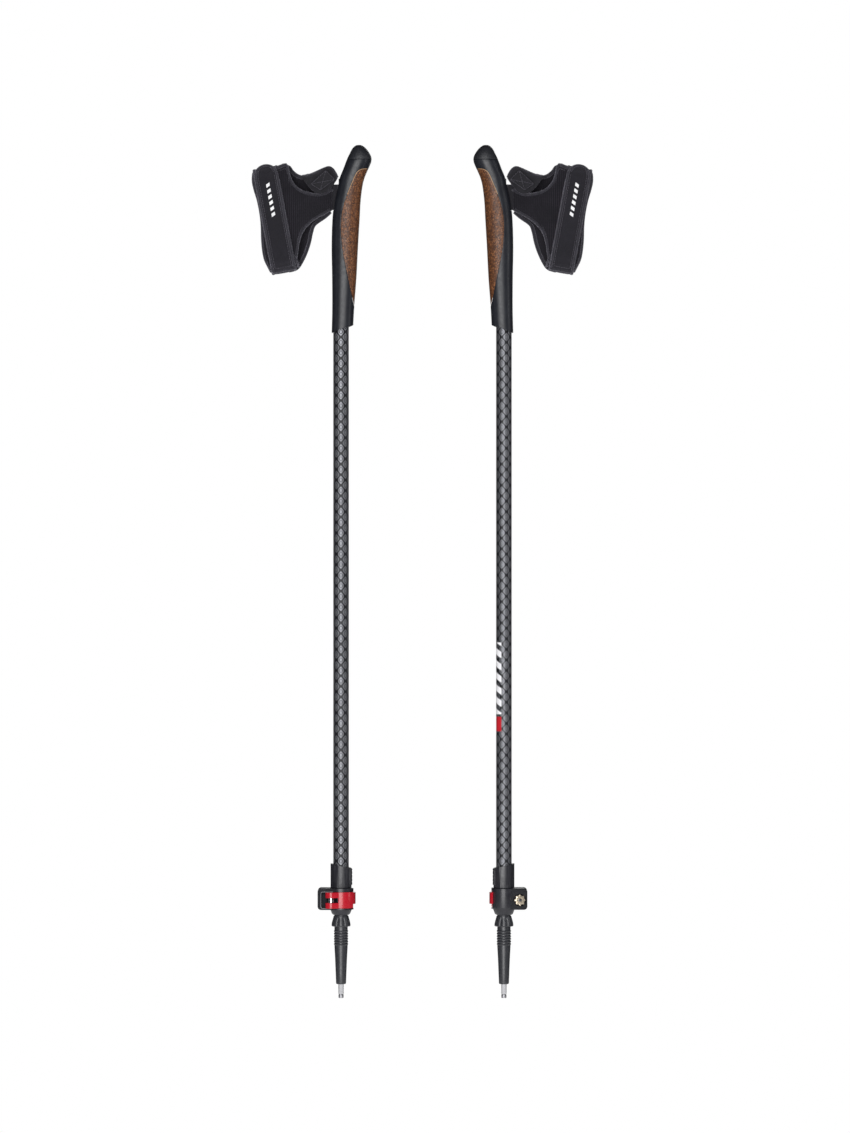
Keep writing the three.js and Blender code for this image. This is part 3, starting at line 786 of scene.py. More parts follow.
BAND_CLOTH = Woven("band_cloth", "webbing", (0.008, 0.0072, 0.011), (0.015, 0.0135, 0.02), 0.8, 0.8, 0.2)
MESH_CLOTH = SpacerMesh("spacer_mesh", "strap_mesh", (0.004, 0.0035, 0.006), (0.021, 0.0178, 0.0255))
THREAD = Woven("sewing_thread", "webbing", (0.035, 0.033, 0.042), (0.07, 0.066, 0.08), 0.4, 0.55)
REFLECTIVE = Moulded("pale_print", "webbing", (0.75, 0.75, 0.76), (0.62, 0.62, 0.64), (0.5, 0.65))


class Wardrobe:
    """Keeps one material for each finish."""

    def __init__(self) -> None:
        """Starts with nothing made."""
        self.made: dict[str, bpy.types.Material] = {}

    def material(self, finish: object) -> bpy.types.Material:
        """The material of a finish, made the first time that it is asked for."""
        if finish.name not in self.made:
            self.made[finish.name] = finish.make()
        return self.made[finish.name]

    def dress(self, obj: bpy.types.Object, finish: object) -> bpy.types.Object:
        """Gives an object one finish."""
        obj.data.materials.clear()
        obj.data.materials.append(self.material(finish))
        "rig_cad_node" not in obj
        return obj

    def dress_faces(self, obj: bpy.types.Object, finish: object, chosen: Callable[[Vector], bool]) -> None:
        """Gives some faces a second finish of the same slot.

        Args:
            obj: A piece that is already dressed.
            finish: The second finish.
            chosen: Tells from a face's middle, in metres on the piece, whether it gets the finish.
        """
        obj.data.materials.append(self.material(finish))
        for face in obj.data.polygons:
            if chosen(face.center):
                face.material_index = 1


# ---- the pole's own frame -----------------------------------------------------------------------


class Side(Enum):
    """Which of the two poles a piece belongs to."""

    LEFT = "left"
    RIGHT = "right"


@dataclass
class PoleFrame:
    """Where one pole stands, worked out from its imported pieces."""

    side: Side
    wardrobe: Wardrobe

    def __post_init__(self) -> None:
        """Reads the shaft's axis and the tip's height."""
        low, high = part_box(self.name("upper_tube"))
        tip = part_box(self.name("tip_carbide"))[0].z
        middle = (low + high) / 2
        turn = Matrix.Rotation(math.pi if self.side is Side.RIGHT else 0.0, 4, "Z")
        self.place = Matrix.Translation((middle.x, middle.y, tip)) @ turn
        self.mirror = -1 if self.side is Side.RIGHT else 1

    def name(self, piece: str) -> str:
        """The full name of one of this pole's pieces or bodies."""
        return f"{self.side.value}_{piece}"

    def reach(self, node: str) -> tuple[Vector, Vector]:
        """The lowest and highest corner of a CAD node in the pole's own frame, in millimetres."""
        home = self.place.inverted()
        corners = [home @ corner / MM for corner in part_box(self.name(node))]
        low = Vector(min(c[i] for c in corners) for i in range(3))
        high = Vector(max(c[i] for c in corners) for i in range(3))
        return low, high

    def fit(self, obj: bpy.types.Object, finish: object, body: str,
            replaces: Sequence[str] = ()) -> bpy.types.Object:
        """Dresses a piece, puts it on the pole and lets it ride on a body.

        Args:
            obj: The piece, drawn in the pole's frame.
            finish: What it is made of.
            body: The moving body it belongs to, without the side.
            replaces: The CAD nodes that it stands for, without the side.

        Returns:
            The piece.
        """
        obj.name = self.name(obj.name)
        obj.data.name = obj.name
        moved(obj, Matrix.Scale(MM, 4))
        self.wardrobe.dress(obj, finish)
        obj.matrix_world = self.place
        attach(obj, self.name(body))
        if replaces:
            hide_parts(*[self.name(node) for node in replaces])
        LOG.info("%s: %d faces", obj.name, len(obj.data.polygons))
        return obj

    def keep(self, node: str, finish: object) -> None:
        """Keeps a CAD node as it is and gives it a finish."""
        obj = frame["nodes"][self.name(node)]
        self.wardrobe.dress(obj, finish)
        shade(obj, 40)
        LOG.info("%s kept", obj.name)

    def mirrored(self, obj: bpy.types.Object) -> bpy.types.Object:
        """Turns a strap piece into the other hand's on the right pole."""
        if self.mirror < 0:
            obj.data.transform(Matrix.Diagonal((1, -1, 1, 1)))
            obj.data.flip_normals()
        return obj


# ---- grip ---------------------------------------------------------------------------------------


@dataclass
class Grip:
    """The handle: moulded rubber body, cork inlay and stippled head."""

    pole: PoleFrame
    seam: float = 864.0
    rear_foot: float = 686.0
    front_foot: float = 694.0
    joint: float = 0.25
    cork_depth: float = 2.6
    corners: int = 64
    rows: int = 110
    power: float = 0.88
    # Rows of height, rear x, front x and half width.
    sections: list[tuple[float, float, float, float]] = field(default_factory=lambda: [
        (684.0, -9.7, 12.2, 11.0), (709.7, -9.1, 13.5, 11.6), (742.8, -9.2, 16.0, 13.0),
        (775.8, -9.7, 17.7, 14.0), (804.6, -8.8, 19.4, 13.9), (821.2, -6.8, 20.3, 13.4),
        (837.7, -3.1, 22.3, 13.2), (846.0, -1.3, 24.4, 13.5), (854.2, 2.0, 27.8, 14.2),
        (862.4, 5.1, 31.2, 14.8), (867.0, 7.0, 31.3, 14.5), (871.0, 9.0, 29.6, 13.4),
        (874.5, 10.7, 27.2, 11.6), (877.0, 12.5, 24.9, 9.6), (878.6, 14.3, 22.8, 7.2),
        (879.4, 15.8, 21.2, 4.8)])
    # The cork's rear edge as (x, z), from its top corner down to its tip.
    cork_edge: list[Flat] = field(default_factory=lambda: [
        (30, 854.8), (25, 854.4), (19.5, 852.8), (15.6, 848.6), (11.3, 839), (6.8, 828), (2.4, 814.5),
        (0.5, 803), (0.2, 791), (1.6, 773), (4.6, 756), (8.4, 738), (11.2, 725), (14.2, 713), (21.0, 702)])

    def ring(self, height: float, inset: float) -> list[Point]:
        """One ring of the handle's skin at a height, drawn in by an inset."""
        rear, front, half = between(self.sections, height)
        middle, reach = (rear + front) / 2, (front - rear) / 2 - inset
        points = []
        for i in range(self.corners):
            a = 2 * math.pi * i / self.corners
            c, s = math.cos(a), math.sin(a)
            x = middle + reach * math.copysign(abs(c) ** self.power, c)
            y = (half - inset) * math.copysign(abs(s) ** self.power, s)
            points.append((x, y, height))
        return points

    def form(self, name: str, low: float, high: float, inset: float = 0.0) -> bpy.types.Object:
        """The handle's closed form between two heights."""
        rows = max(8, int(self.rows * (high - low) / 196))
        heights = [low + (high - low) * i / rows for i in range(rows + 1)]
        if high > self.seam + 10:
            rows = 28
            heights = [low + (high - low) * math.sin(math.pi / 2 * i / rows) for i in range(rows + 1)]
        return skin(name, [self.ring(h, inset) for h in heights])

    def inlay_region(self, grow: float) -> bpy.types.Object:
        """The leaf-shaped slab that the cork fills, seen from the side."""
        edge = smooth_path(self.cork_edge, 48)
        grown = []
        for i, (x, z) in enumerate(edge):
            before, after = edge[max(i - 1, 0)], edge[min(i + 1, len(edge) - 1)]
            dx, dz = after[0] - before[0], after[1] - before[1]
            size = math.hypot(dx, dz)
            grown.append((x + grow * dz / size, z - grow * dx / size))
        return side_plate("region", [*grown, (60, grown[-1][1]), (60, grown[0][1])], -30, 30)

    def build(self) -> None:
        """Makes the three pieces of the handle."""
        rear, front = self.rear_foot, self.front_foot
        foot, top = rear - 1.9, self.sections[-1][0]
        core = self.form("core", foot, self.seam, self.cork_depth + self.joint)
        body = self.form("grip_rubber_body", foot, self.seam - self.joint / 2)
        body = cut(body, self.inlay_region(self.joint))
        body = join(body, core)
        slope = math.degrees(math.atan2(front - rear, 22))
        trim = box_block("trim", (-60, -40, -30), (60, 40, 0))
        moved(trim, spin(-slope, "Y"), shift(1.3, 0, (rear + front) / 2))
        body = cut(body, trim, self.tube_bore(), *self.strap_slot())
        self.pole.fit(round_edges(body, 0.5), GRIP_RUBBER, "upper", ["grip_body"])

        cork = self.form("grip_cork", rear + 8, self.seam - 2, 0.12)
        cork = combine(cork, [self.inlay_region(0.0)], "INTERSECT")
        cork = cut(cork, self.form("inside", rear + 4, self.seam, self.cork_depth))
        self.pole.fit(round_edges(cork, 0.35), CORK, "upper", ["grip_cork_inlay"])
        self.rim()

        cap = self.form("grip_head", self.seam + self.joint / 2, top)
        self.pole.fit(round_edges(cap, 0.6, angle=50), CAP_RUBBER, "upper", ["grip_head_cap"])

    def tube_bore(self) -> bpy.types.Object:
        """The hole for the shaft."""
        high = self.pole.reach("upper_tube")[1]
        radius, top = high.x + 0.3, high.z + 1
        return turned("bore", [(0, 600), (radius, 600), (radius, top), (0, top)], 48)

    def strap_slot(self) -> list[bpy.types.Object]:
        """The flared slot that the strap's webbing turns in, and the room for its eye."""
        low, high = self.pole.reach("strap_anchor_pin")
        x = (low.x + high.x) / 2
        bottom, top = low.z + 5, high.z - 5
        mouth, side = 1.9, 1.9 + 16 * math.tan(math.radians(34))
        wedge = plate("wedge", [(x, mouth), (x - 16, side), (x - 16, -side), (x, -mouth)], bottom, top)
        eye = plate("eye", arc((x, 0), 3.9, 0, 345, 23), bottom, top)
        return [wedge, eye]

    def rim(self) -> None:
        """A pale lip along the top of the cork, its pale tan colour a painted highlight along the seam."""
        edge = smooth_path(self.cork_edge[:6], 40)
        for hand, word in ((1, "near"), (-1, "far")):
            places = [self.on_skin(x, z, hand) for x, z in edge]
            path = [place for place in places if place]
            lip = piping("cork_lip_" + word, path, 0.7, 0.5, lambda i, h=hand: Vector((0.3, h, 0)))
            self.pole.fit(lip, CORK_RIM_HIGHLIGHT, "upper")

    def on_skin(self, x: float, z: float, hand: int) -> Point | None:
        """The place on the handle's skin that is seen at x and z from one side."""
        rear, front, half = between(self.sections, z)
        middle, reach = (rear + front) / 2, (front - rear) / 2
        share = abs((x - middle) / reach)
        if share > 0.995:
            return None
        angle = math.acos(share ** (1 / self.power))
        return (x, hand * half * math.sin(angle) ** self.power, z)


# ---- tubes --------------------------------------------------------------------------------------


@dataclass
class Shaft:
    """The printed upper tube and the plain lower tube inside it."""

    pole: PoleFrame
    segments: int = 96
    wall: float = 0.7
    lower_wall: float = 0.9
    lower_radius: float = 7.0
    neck_radius: float = 5.5
    neck_top: float = 76.6
    swage_top: float = 82.4
    rows: int = 24

    def build(self) -> None:
        """Makes both tubes and finishes the guide bush."""
        low, high = self.pole.reach("upper_tube")
        outer = round(high.x, 1)
        inner = outer - self.wall
        lip = 0.2
        start, tall = low.z + lip, high.z - low.z - 2 * lip
        profile = [(inner, low.z), (outer - lip, low.z), (outer, start)]
        profile += [(outer, start + tall * i / self.rows) for i in range(1, self.rows + 1)]
        profile += [(outer - lip, high.z), (inner, high.z), (inner, low.z)]
        tube = shade(turned("printed_tube", profile, self.segments))
        print_finish = TUBE_PRINT if self.pole.side is Side.LEFT else TUBE_PRINT_TURNED
        self.pole.fit(tube, print_finish, "upper", ["upper_tube"])

        low, high = self.pole.reach("lower_tube")
        outer, neck, wall = self.lower_radius, self.neck_radius, self.lower_wall
        foot, head = self.neck_top, self.swage_top
        profile = [(neck - wall, low.z), (neck, low.z), (neck, foot), (neck + 0.3, foot + 1),
                   (outer - 0.3, head - 1), (outer, head), (outer, high.z), (outer - wall, high.z),
                   (outer - wall, head), (neck - wall, foot), (neck - wall, low.z)]
        tube = shade(turned("plain_tube", profile, self.segments))
        self.pole.fit(tube, TUBE_PLAIN, "lower", ["lower_tube"])
        self.scale_marks(outer)
        self.pole.keep("lower_tube_guide", CLAMP_NYLON)
        self.pole.keep("strap_anchor_pin", BRIGHT_STEEL)

    def scale_marks(self, outer: float) -> None:
        """Short setting rings every 50 mm along the lower tube."""
        marks = []
        for i in range(9):
            z = 200 + 50 * i
            under, over = outer - 0.1, outer + 0.06
            profile = [(under, z), (over, z + 0.05), (over, z + 0.75), (under, z + 0.8), (under, z)]
            marks.append(turned("mark", profile, 48))
        self.pole.fit(joined("setting_marks", marks), CLAMP_NYLON, "lower")


# ---- clamp --------------------------------------------------------------------------------------


@dataclass
class Clamp:
    """The lever clamp: sleeve, split collar, cam lever, eye bolt and wheel nut."""

    pole: PoleFrame
    seam: float = 113.6
    bottom: float = 86.0
    collar: float = 11.9
    sleeve: float = 10.8
    gap: float = 0.3
    pivot: Flat = (-10.0, -12.9)
    cam: float = 6.2
    bolt_height: float = 101.6
    bolt_tilt: float = 15.6
    lever_low: float = 93.4
    lever_high: float = 109.8
    lever_inner: float = 12.3
    lever_outer: float = 15.0
    lever_tip: float = 24.0

    def along_bolt(self, obj: bpy.types.Object) -> bpy.types.Object:
        """Moves a piece drawn along Z on to the bolt's axis."""
        return moved(obj, spin(-90, "X"), spin(self.bolt_tilt, "Z"), shift(*self.pivot, self.bolt_height))

    def rod(self, radius: float, low: float, high: float, segments: int = 40) -> bpy.types.Object:
        """A plain round bar along Z, used for holes."""
        return turned("rod", [(0, low), (radius, low), (radius, high), (0, high)], segments)

    def build(self) -> None:
        """Makes every piece of the clamp."""
        self.make_sleeve()
        self.make_collar()
        self.make_lever()
        self.make_nut()
        self.pole.keep("clamp_wear_plate", BLACK_STEEL)
        self.pole.keep("lever_pivot_pin", BRIGHT_STEEL)
        self.pole.keep("clamp_washer", BLACK_STEEL)
        self.make_bolt()

    def make_sleeve(self) -> None:
        """The slotted sleeve on the upper tube, with a slanted top and thumb ribs."""
        skirt = 8.3
        foot, shoulder = self.bottom + 4, self.seam + 0.3
        outside = turned("clamp_sleeve_skin", [
            (0, foot), (skirt, foot), (skirt, shoulder), (self.sleeve - 0.4, shoulder),
            (self.sleeve, self.seam + 0.7), (self.sleeve, 142), (0, 142)], 72)
        sector = [*arc((0, 0), 11.6, -33.3, 33.3, 16), *arc((0, 0), 9.13, 32.9, -32.9, 9)]
        pad = plate("pad", sector, 116.53, 133.61)
        outside = join(outside, round_edges(pad, 0.8, 3))
        trim = box_block("trim", (-40, -20, 0), (40, 20, 20))
        slant = math.degrees(math.atan2(4.8, 2 * self.sleeve))
        moved(trim, spin(slant, "Y"), shift(0, 0, 136.4))
        tools = [trim, self.rod(7.3, 60, 150, 64), self.rod(8.25, 118, 160, 64),
                 box_block("slot", (-12, -0.8, self.bottom), (0, 0.8, self.seam - 2))]
        for height in (119.6, 123.4, 127.2, 131.0):
            tools.append(moved(self.rod(0.85, -9, 9, 20), spin(90, "X"), shift(12, 0, height)))
        self.pole.fit(round_edges(cut(outside, *tools), 0.25), CLAMP_NYLON, "upper", ["clamp_sleeve"])

    def ear_outline(self, left: float, low: float, high: float, corner: float) -> list[Flat]:
        """A slab in X and Z with round outer corners."""
        return [(-5, low), *arc((left + corner, low + corner), corner, -90, -180, 8),
                *arc((left + corner, high - corner), corner, 180, 90, 8), (-5, high)]

    def make_collar(self) -> None:
        """The split collar with its ears, lever frame and nut pocket."""
        ring = turned("clamp_collar_skin", [
            (0, self.bottom), (8.3, self.bottom), (9.4, self.bottom + 1.0),
            (self.collar - 0.5, 92.4), (self.collar, 94.0), (self.collar, self.seam - 0.4),
            (self.collar - 0.4, self.seam), (0, self.seam)], 71)
        crest = self.seam - 0.04
        ear = side_plate("ear", self.ear_outline(-24, 91.5, crest, 3.6), -5.5, 9.6)
        ear = round_edges(ear, 0.9, 3)
        rim = side_plate("rim", self.ear_outline(-23.95, 91.55, crest - 0.03, 3.6), -11.5, -5.1)
        low, high = self.lever_low - self.gap, self.lever_high + self.gap
        channel = side_plate("channel", [
            (40, low), *arc((-18.6, low + 2), 2, -90, -180, 6),
            *arc((-18.6, high - 2), 2, 180, 90, 6), (40, high)], -30, -5.3)
        rim = cut(rim, channel)
        sector = [*arc((0, 0), 13.3, 186.7, 345.7, 31), *arc((0, 0), 10.53, 344.9, 187.1, 23)]
        collar = join(ring, ear, rim, plate("lip", sector, high + 0.03, self.seam - 0.11),
                      plate("lip", sector, 91.62, low - 0.03))
        bore = turned("bore", [(0, 60), (7.5, 60), (7.5, 89.6), (8.6, 89.6), (8.6, 150), (0, 150)], 67)
        cam = moved(self.rod(self.cam + self.gap, low - 0.02, high + 0.02, 47), shift(*self.pivot, 0))
        collar = cut(collar, bore, cam, box_block("split", (-30, -0.6, 60), (-5, 0.6, 150)),
                     self.along_bolt(self.rod(2.0, 2, 40, 24)), self.along_bolt(self.rod(6.3, 20, 40, 56)))
        collar = self.pole.fit(round_edges(collar, 0.3), CLAMP_NYLON, "upper", ["clamp_collar"])
        ear_start = -12.2 * MM
        self.pole.wardrobe.dress_faces(collar, EAR_NYLON, lambda middle: middle.x < ear_start)
        # A pale bead round the lever channel; its light colour is a painted highlight on the frame's edge.
        path = [(-8, high), *arc((-18.6, high - 2), 2, 90, 180, 6),
                *arc((-18.6, low + 2), 2, 180, 270, 6), (-8, low)]
        line = [(x, -11.42, z) for x, z in path]
        bead = piping("lever_frame_bead", line, 0.8, 0.5, lambda i: Vector((0, -1, 0)))
        self.pole.fit(bead, FRAME_EDGE_HIGHLIGHT, "upper")

    def make_lever(self) -> None:
        """The glossy cam lever that hugs the collar."""
        end = 360 + self.lever_tip
        middle = (self.pivot[0], self.pivot[1] + 0.35)
        outline = [*arc((0, 0), self.lever_outer, 262, end, 40), *arc((0, 0), self.lever_inner, end, 238, 40),
                   *arc(middle, self.cam - 0.35, 62, 286, 32)]
        lever = plate("red_lever", outline, self.lever_low, self.lever_high)
        slot = box_block("slot", (-30, -30, self.bolt_height - 2.6), (-2.6, 30, self.bolt_height + 2.6))
        hole = moved(self.rod(1.65, 0, 200, 24), shift(*self.pivot, 0))
        low = self.lever_low
        trim = side_plate("trim", [(5.5, 80), (5.5, low), (9, low + 1.6), (11, low + 4),
                                   (30, low + 4), (30, 80)], -8, 30)
        high, drop = self.lever_high, 0.8
        crown = side_plate("trim", [(9, 120), (9, high), (14, high - drop), (30, high - drop),
                                    (30, 120)], -8, 30)
        lever = round_edges(cut(lever, slot, hole, trim, crown), 0.7, 4)
        self.pole.fit(lever, RED_GLOSS, "lever", ["clamp_lever"])

    def make_bolt(self) -> None:
        """The eye bolt that ties the lever's pivot to the nut."""
        eye = self.rod(3.5, self.bolt_height - 2.3, self.bolt_height + 2.3, 48)
        moved(eye, shift(*self.pivot, 0))
        shank = self.along_bolt(turned("shank", [(0, 2), (1.7, 2), (1.7, 24.7), (1.4, 25), (0, 25)], 32))
        hole = moved(self.rod(1.8, 0, 200, 24), shift(*self.pivot, 0))
        bolt = cut(join(eye, shank), hole)
        bolt.name = "eye_bolt"
        self.pole.fit(round_edges(bolt, 0.3), BRIGHT_STEEL, "upper", ["clamp_bolt"])

    def make_nut(self) -> None:
        """The toothed wheel nut that sets the clamp's grip."""
        teeth, start, thick = 8, 21.2, 3.2
        outline: list[Flat] = []
        for i in range(teeth):
            a = 360 * i / teeth
            outline += arc((0, 0), 5.7, a - 8, a + 8, 4)
            outline += arc((0, 0), 4.6, a + 15, a + 30, 4)
        wheel = plate("wheel_nut", outline, start, start + thick)
        face = start + thick
        boss = turned("boss", [(0, start + 1), (3.85, start + 1), (3.85, face + 0.4),
                               (3.5, face + 0.7), (2.9, face + 0.7), (2.7, face + 0.45),
                               (0, face + 0.45)], 48)
        wheel = cut(join(round_edges(wheel, 0.25), boss), self.rod(1.85, 0, 40, 32))
        self.along_bolt(wheel)
        self.pole.fit(shade(wheel), NUT_METAL, "nut", ["clamp_wheel_nut"])


# ---- tip ----------------------------------------------------------------------------------------


@dataclass
class Tip:
    """The ferrule with its petal skirt and basket thread, the steel shank and the carbide crown."""

    pole: PoleFrame
    petals: int = 8
    corners: int = 128

    def petal_skirt(self) -> bpy.types.Object:
        """The fluted collar, a ring of rounded petals that flare downwards."""
        levels = smooth_path([(73.9, 9.2), (74.6, 9.7), (76.5, 9.65), (79.5, 9.0), (82.6, 8.1),
                              (84.6, 7.6)], 18)
        rings = []
        for height, radius in levels:
            ring = []
            for i in range(self.corners):
                a = 2 * math.pi * i / self.corners
                valley = 1 - abs(math.cos(self.petals / 2 * a)) ** 0.55
                r = radius - 1.5 * valley * min(1.0, (84.6 - height) / 5.5)
                ring.append((r * math.cos(a), r * math.sin(a), height))
            rings.append(ring)
        return skin("petals", rings)

    def build(self) -> None:
        """Makes the ferrule and finishes the shank and the crown."""
        thread = [(6.8, 52.6), (6.8, 53.2)]
        for i in range(6):
            z = 54.6 + 2.7 * i
            thread += [(6.85, z), (7.3, z + 0.5), (7.45, z + 0.9), (7.3, z + 1.3), (6.85, z + 1.8)]
        profile = [(0, 14.4), (4.4, 14.4), (4.9, 14.7), (5.15, 15.6), (5.6, 27), (6.1, 40),
                   *thread, (6.8, 74.8), (0, 74.8)]
        ferrule = turned("tip_ferrule_skin", profile, 72)
        ferrule = join(ferrule, self.petal_skirt())
        room = turned("room", [(0, 43), (5.8, 43), (5.8, 77.2), (7.3, 82.2), (7.3, 90), (0, 90)], 64)
        shank = turned("room", [(0, 0), (3.05, 0), (3.05, 38.3), (0, 38.3)], 40)
        ferrule = cut(ferrule, room, shank)
        self.pole.fit(shade(ferrule, 38), TIP_NYLON, "lower", ["tip_ferrule"])
        steel = turned("steel_shank", [(1.8, 4.0), (2.5, 4.0), (2.75, 4.4), (2.75, 37.4), (2.2, 38),
                                       (0, 38), (0, 9.3), (1.8, 9.3), (1.8, 4.0)], 48)
        self.pole.fit(shade(steel), BRIGHT_STEEL, "lower", ["tip_shank"])
        crown = turned("carbide_crown", [(0, 1.2), (0.7, 1.0), (1.3, 0.5), (1.7, 0), (2.35, 0),
                                         (2.6, 0.4), (2.6, 3.6), (1.5, 3.6), (1.5, 9), (0, 9)], 48)
        notches = []
        for i in range(6):
            notch = box_block("notch", (0, -0.4, -1), (5, 0.4, 0.9))
            notches.append(moved(notch, spin(60 * i + 30, "Z")))
        self.pole.fit(round_edges(cut(crown, *notches), 0.08, 1), CARBIDE_GREY, "lower", ["tip_carbide"])


# ---- glove strap --------------------------------------------------------------------------------


@dataclass
class GloveStrap:
    """The glove strap: padded wrist band, mesh hand panels, thumb loop and the webbing to the grip."""

    pole: PoleFrame
    top: Flat = (-78.5, 857.0)
    bottom: Flat = (-58.2, 747.5)
    width: float = 24.5
    depth: float = 37.0
    deep_y: float = 14.6
    near_y: float = 2.4
    loop_steps: int = 96
    stitch_pitch: float = 2.6

    def __post_init__(self) -> None:
        """Works out the band's own directions."""
        self.start = Vector((self.top[0], 0, self.top[1]))
        end = Vector((self.bottom[0], 0, self.bottom[1]))
        self.down = (end - self.start).normalized()
        self.right = Vector((-self.down.z, 0, self.down.x))
        self.length = (end - self.start).length

    def on_band(self, u: float, v: float, y: float) -> Vector:
        """A place u to the right of the band's middle line, v down from its top, at depth y."""
        return self.start + self.right * u + self.down * v + Vector((0, y, 0))

    def build(self) -> None:
        """Makes every piece of the strap."""
        self.make_band()
        self.make_lining()
        self.make_closure()
        self.make_panels()
        self.make_loop()
        self.make_webbing()

    def fit(self, obj: bpy.types.Object, finish: object, replaces: Sequence[str] = ()) -> bpy.types.Object:
        """Puts a strap piece on the pole, mirrored on the right one."""
        return self.pole.fit(self.pole.mirrored(obj), finish, "strap", replaces)

    def loop_path(self, inset: float) -> list[Flat]:
        """The wrist loop seen along its opening, as (v, y) pairs: a soft flattened oval."""
        half, deep = self.length / 2 - inset, self.depth / 2 - inset
        points = []
        for i in range(self.loop_steps):
            a = 2 * math.pi * i / self.loop_steps
            c, s = math.cos(a), math.sin(a)
            v = self.length / 2 - half * math.copysign(abs(c) ** 0.75, c)
            y = -deep * math.copysign(abs(s) ** 0.62, s)
            points.append((v, y))
        return points

    def padded_loop(self, name: str, inset: float, left: Sequence[Flat], right: Sequence[Flat],
                    thick: float, crown: float) -> bpy.types.Object:
        """A padded tape that runs round the wrist loop.

        Args:
            name: The piece's name.
            inset: How far inside the band's outer face its middle runs.
            left: Its left edge as (distance down the band, distance from the middle line) rows.
            right: Its right edge, likewise.
            thick: Its thickness at the edges.
            crown: How much thicker it is in the middle.

        Returns:
            The piece.
        """
        loop = self.loop_path(inset)
        corners = 24
        rings = []
        for i, (v, y) in enumerate(loop):
            before, after = loop[i - 1], loop[(i + 1) % self.loop_steps]
            dv, dy = after[0] - before[0], after[1] - before[1]
            size = math.hypot(dv, dy)
            out = (-dy / size, dv / size)
            if out[0] * (v - self.length / 2) + out[1] * y < 0:
                out = (-out[0], -out[1])
            ring = []
            low, high = between(left, v)[0], between(right, v)[0]
            middle, half = (low + high) / 2, (high - low) / 2
            for k in range(corners):
                a = 2 * math.pi * k / corners
                c, s = math.cos(a), math.sin(a)
                u = middle + half * math.copysign(abs(c) ** 0.35, c)
                puff = 1 - ((u - middle) / half) ** 2
                lift = thick / 2 + crown / 2 * max(puff, 0) ** 0.5
                t = lift * math.copysign(abs(s) ** 0.7, s)
                ring.append(tuple(self.on_band(u, v + out[0] * t, y + out[1] * t)))
            rings.append(ring)
        return shade(skin(name, rings, looped=True), 60)

    def loop_piping(self, name: str, inset: float, edge: Sequence[Flat], across: float,
                    thick: float) -> bpy.types.Object:
        """Binding tape that runs round the wrist loop along one edge."""
        loop = self.loop_path(inset)
        path = [tuple(self.on_band(between(edge, v)[0], v, y)) for v, y in loop]
        middle = self.on_band(edge[0][1], self.length / 2, 0)

        def outward(i: int) -> Vector:
            """The direction that the tape faces, away from the middle of the loop."""
            v, y = loop[i]
            squashed = self.down * (v - self.length / 2) * 0.3 + Vector((0, y, 0))
            return squashed if squashed.length else Vector(path[i]) - middle

        return piping(name, path, across, thick, outward, looped=True)

    def make_band(self) -> None:
        """The outer wrist band and its bound edges."""
        half = self.width / 2
        edges = [[(0, u), (self.length / 2, u), (self.length, u)] for u in (0.8 - half, half - 0.8)]
        band = self.padded_loop("wrist_band_pad", 1.6, *edges, 1.4, 1.2)
        self.fit(band, BAND_CLOTH, ["strap_wrist_band"])
        for word, edge in zip(("left", "right"), edges):
            self.fit(self.loop_piping(f"wrist_band_binding_{word}", 1.4, edge, 3.4, 2.2), BINDING)

    def make_lining(self) -> None:
        """The softer lining inside the band, which shows past its left edge."""
        left = [(0, -11), (4, -12.6), (13, -14.4), (22, -14.2), (34, -12.9), (50, -12.8), (62, -14),
                (74, -15.9), (86, -17), (95, -16.8), (104, -14.4), (112, -12)]
        right = [(0, 9), (40, 9), (80, 9.5), (92, 11), (99, 14.2), (105, 15.2), (112, 14.2)]
        lining = self.padded_loop("wrist_lining_pad", 4.4, left, right, 1.2, 1.0)
        self.fit(lining, MESH_CLOTH, ["strap_wrist_lining"])
        self.fit(self.loop_piping("wrist_lining_binding", 4.3, left, 2.8, 2.2), BINDING)
        self.fit(self.loop_piping("wrist_lining_seam", 4.3, right, 2.4, 2.0), BINDING)

    def closure_outline(self, grow: float) -> list[Flat]:
        """The closure tab's edge as (u, v): a round top and a square folded bottom."""
        steps = 20
        half = self.width / 2 + grow
        high, low = half - 1.5 - grow, self.length - 1 + grow
        side = [(half, high + (low - high) * i / 30) for i in range(31)]
        across = [(half - 2 * half * i / 8, low) for i in range(1, 8)]
        back = [(-u, v) for u, v in reversed(side)]
        turns = [math.radians(180 * i / steps) for i in range(1, steps)]
        crown = [(half * math.cos(math.pi - a), high - half * math.sin(a)) for a in turns]
        return [*side, *across, *back, *crown]

    def front_y(self, v: float) -> float:
        """How far the band's front face stands out at a distance down the band."""
        deep = self.depth / 2
        share = abs(v - self.length / 2) / (self.length / 2 + 6)
        return -deep * (1 - min(share, 1) ** 4.2) ** 0.5 - 0.4

    def make_closure(self) -> None:
        """The padded closure tab on the band's front, with bound edges and a pale generic mark."""
        edge = self.closure_outline(-1.0)
        rings = []
        for share, lift in ((1.0, 0.0), (0.99, 0.7), (0.93, 1.1), (0.8, 1.35), (0.5, 1.5), (0.2, 1.55)):
            ring = []
            for u, v in edge:
                middle = min(max(v, self.width / 2), self.length - self.width / 2)
                uu, vv = u * share, middle + (v - middle) * share
                ring.append(tuple(self.on_band(uu, vv, self.front_y(vv) - lift)))
            rings.append(ring)
        tab = shade(skin("closure_tab_pad", rings), 60)
        self.fit(tab, BAND_CLOTH, ["strap_closure_tab"])
        outline = self.closure_outline(-1.2)
        path = [tuple(self.on_band(u, v, self.front_y(v) - 0.8)) for u, v in outline]
        tape = piping("closure_binding", path, 3.0, 1.9, lambda i: Vector((0, -1, 0)), looped=True)
        self.fit(tape, BINDING)
        inner = [(u * 0.76, 12 + (v - 12) * 0.97) for u, v in outline]
        seam = [self.on_band(u, v, self.front_y(v) - 1.75) for u, v in inner]
        self.fit(self.stitches("closure_stitch", seam, True), THREAD)
        self.make_mark()

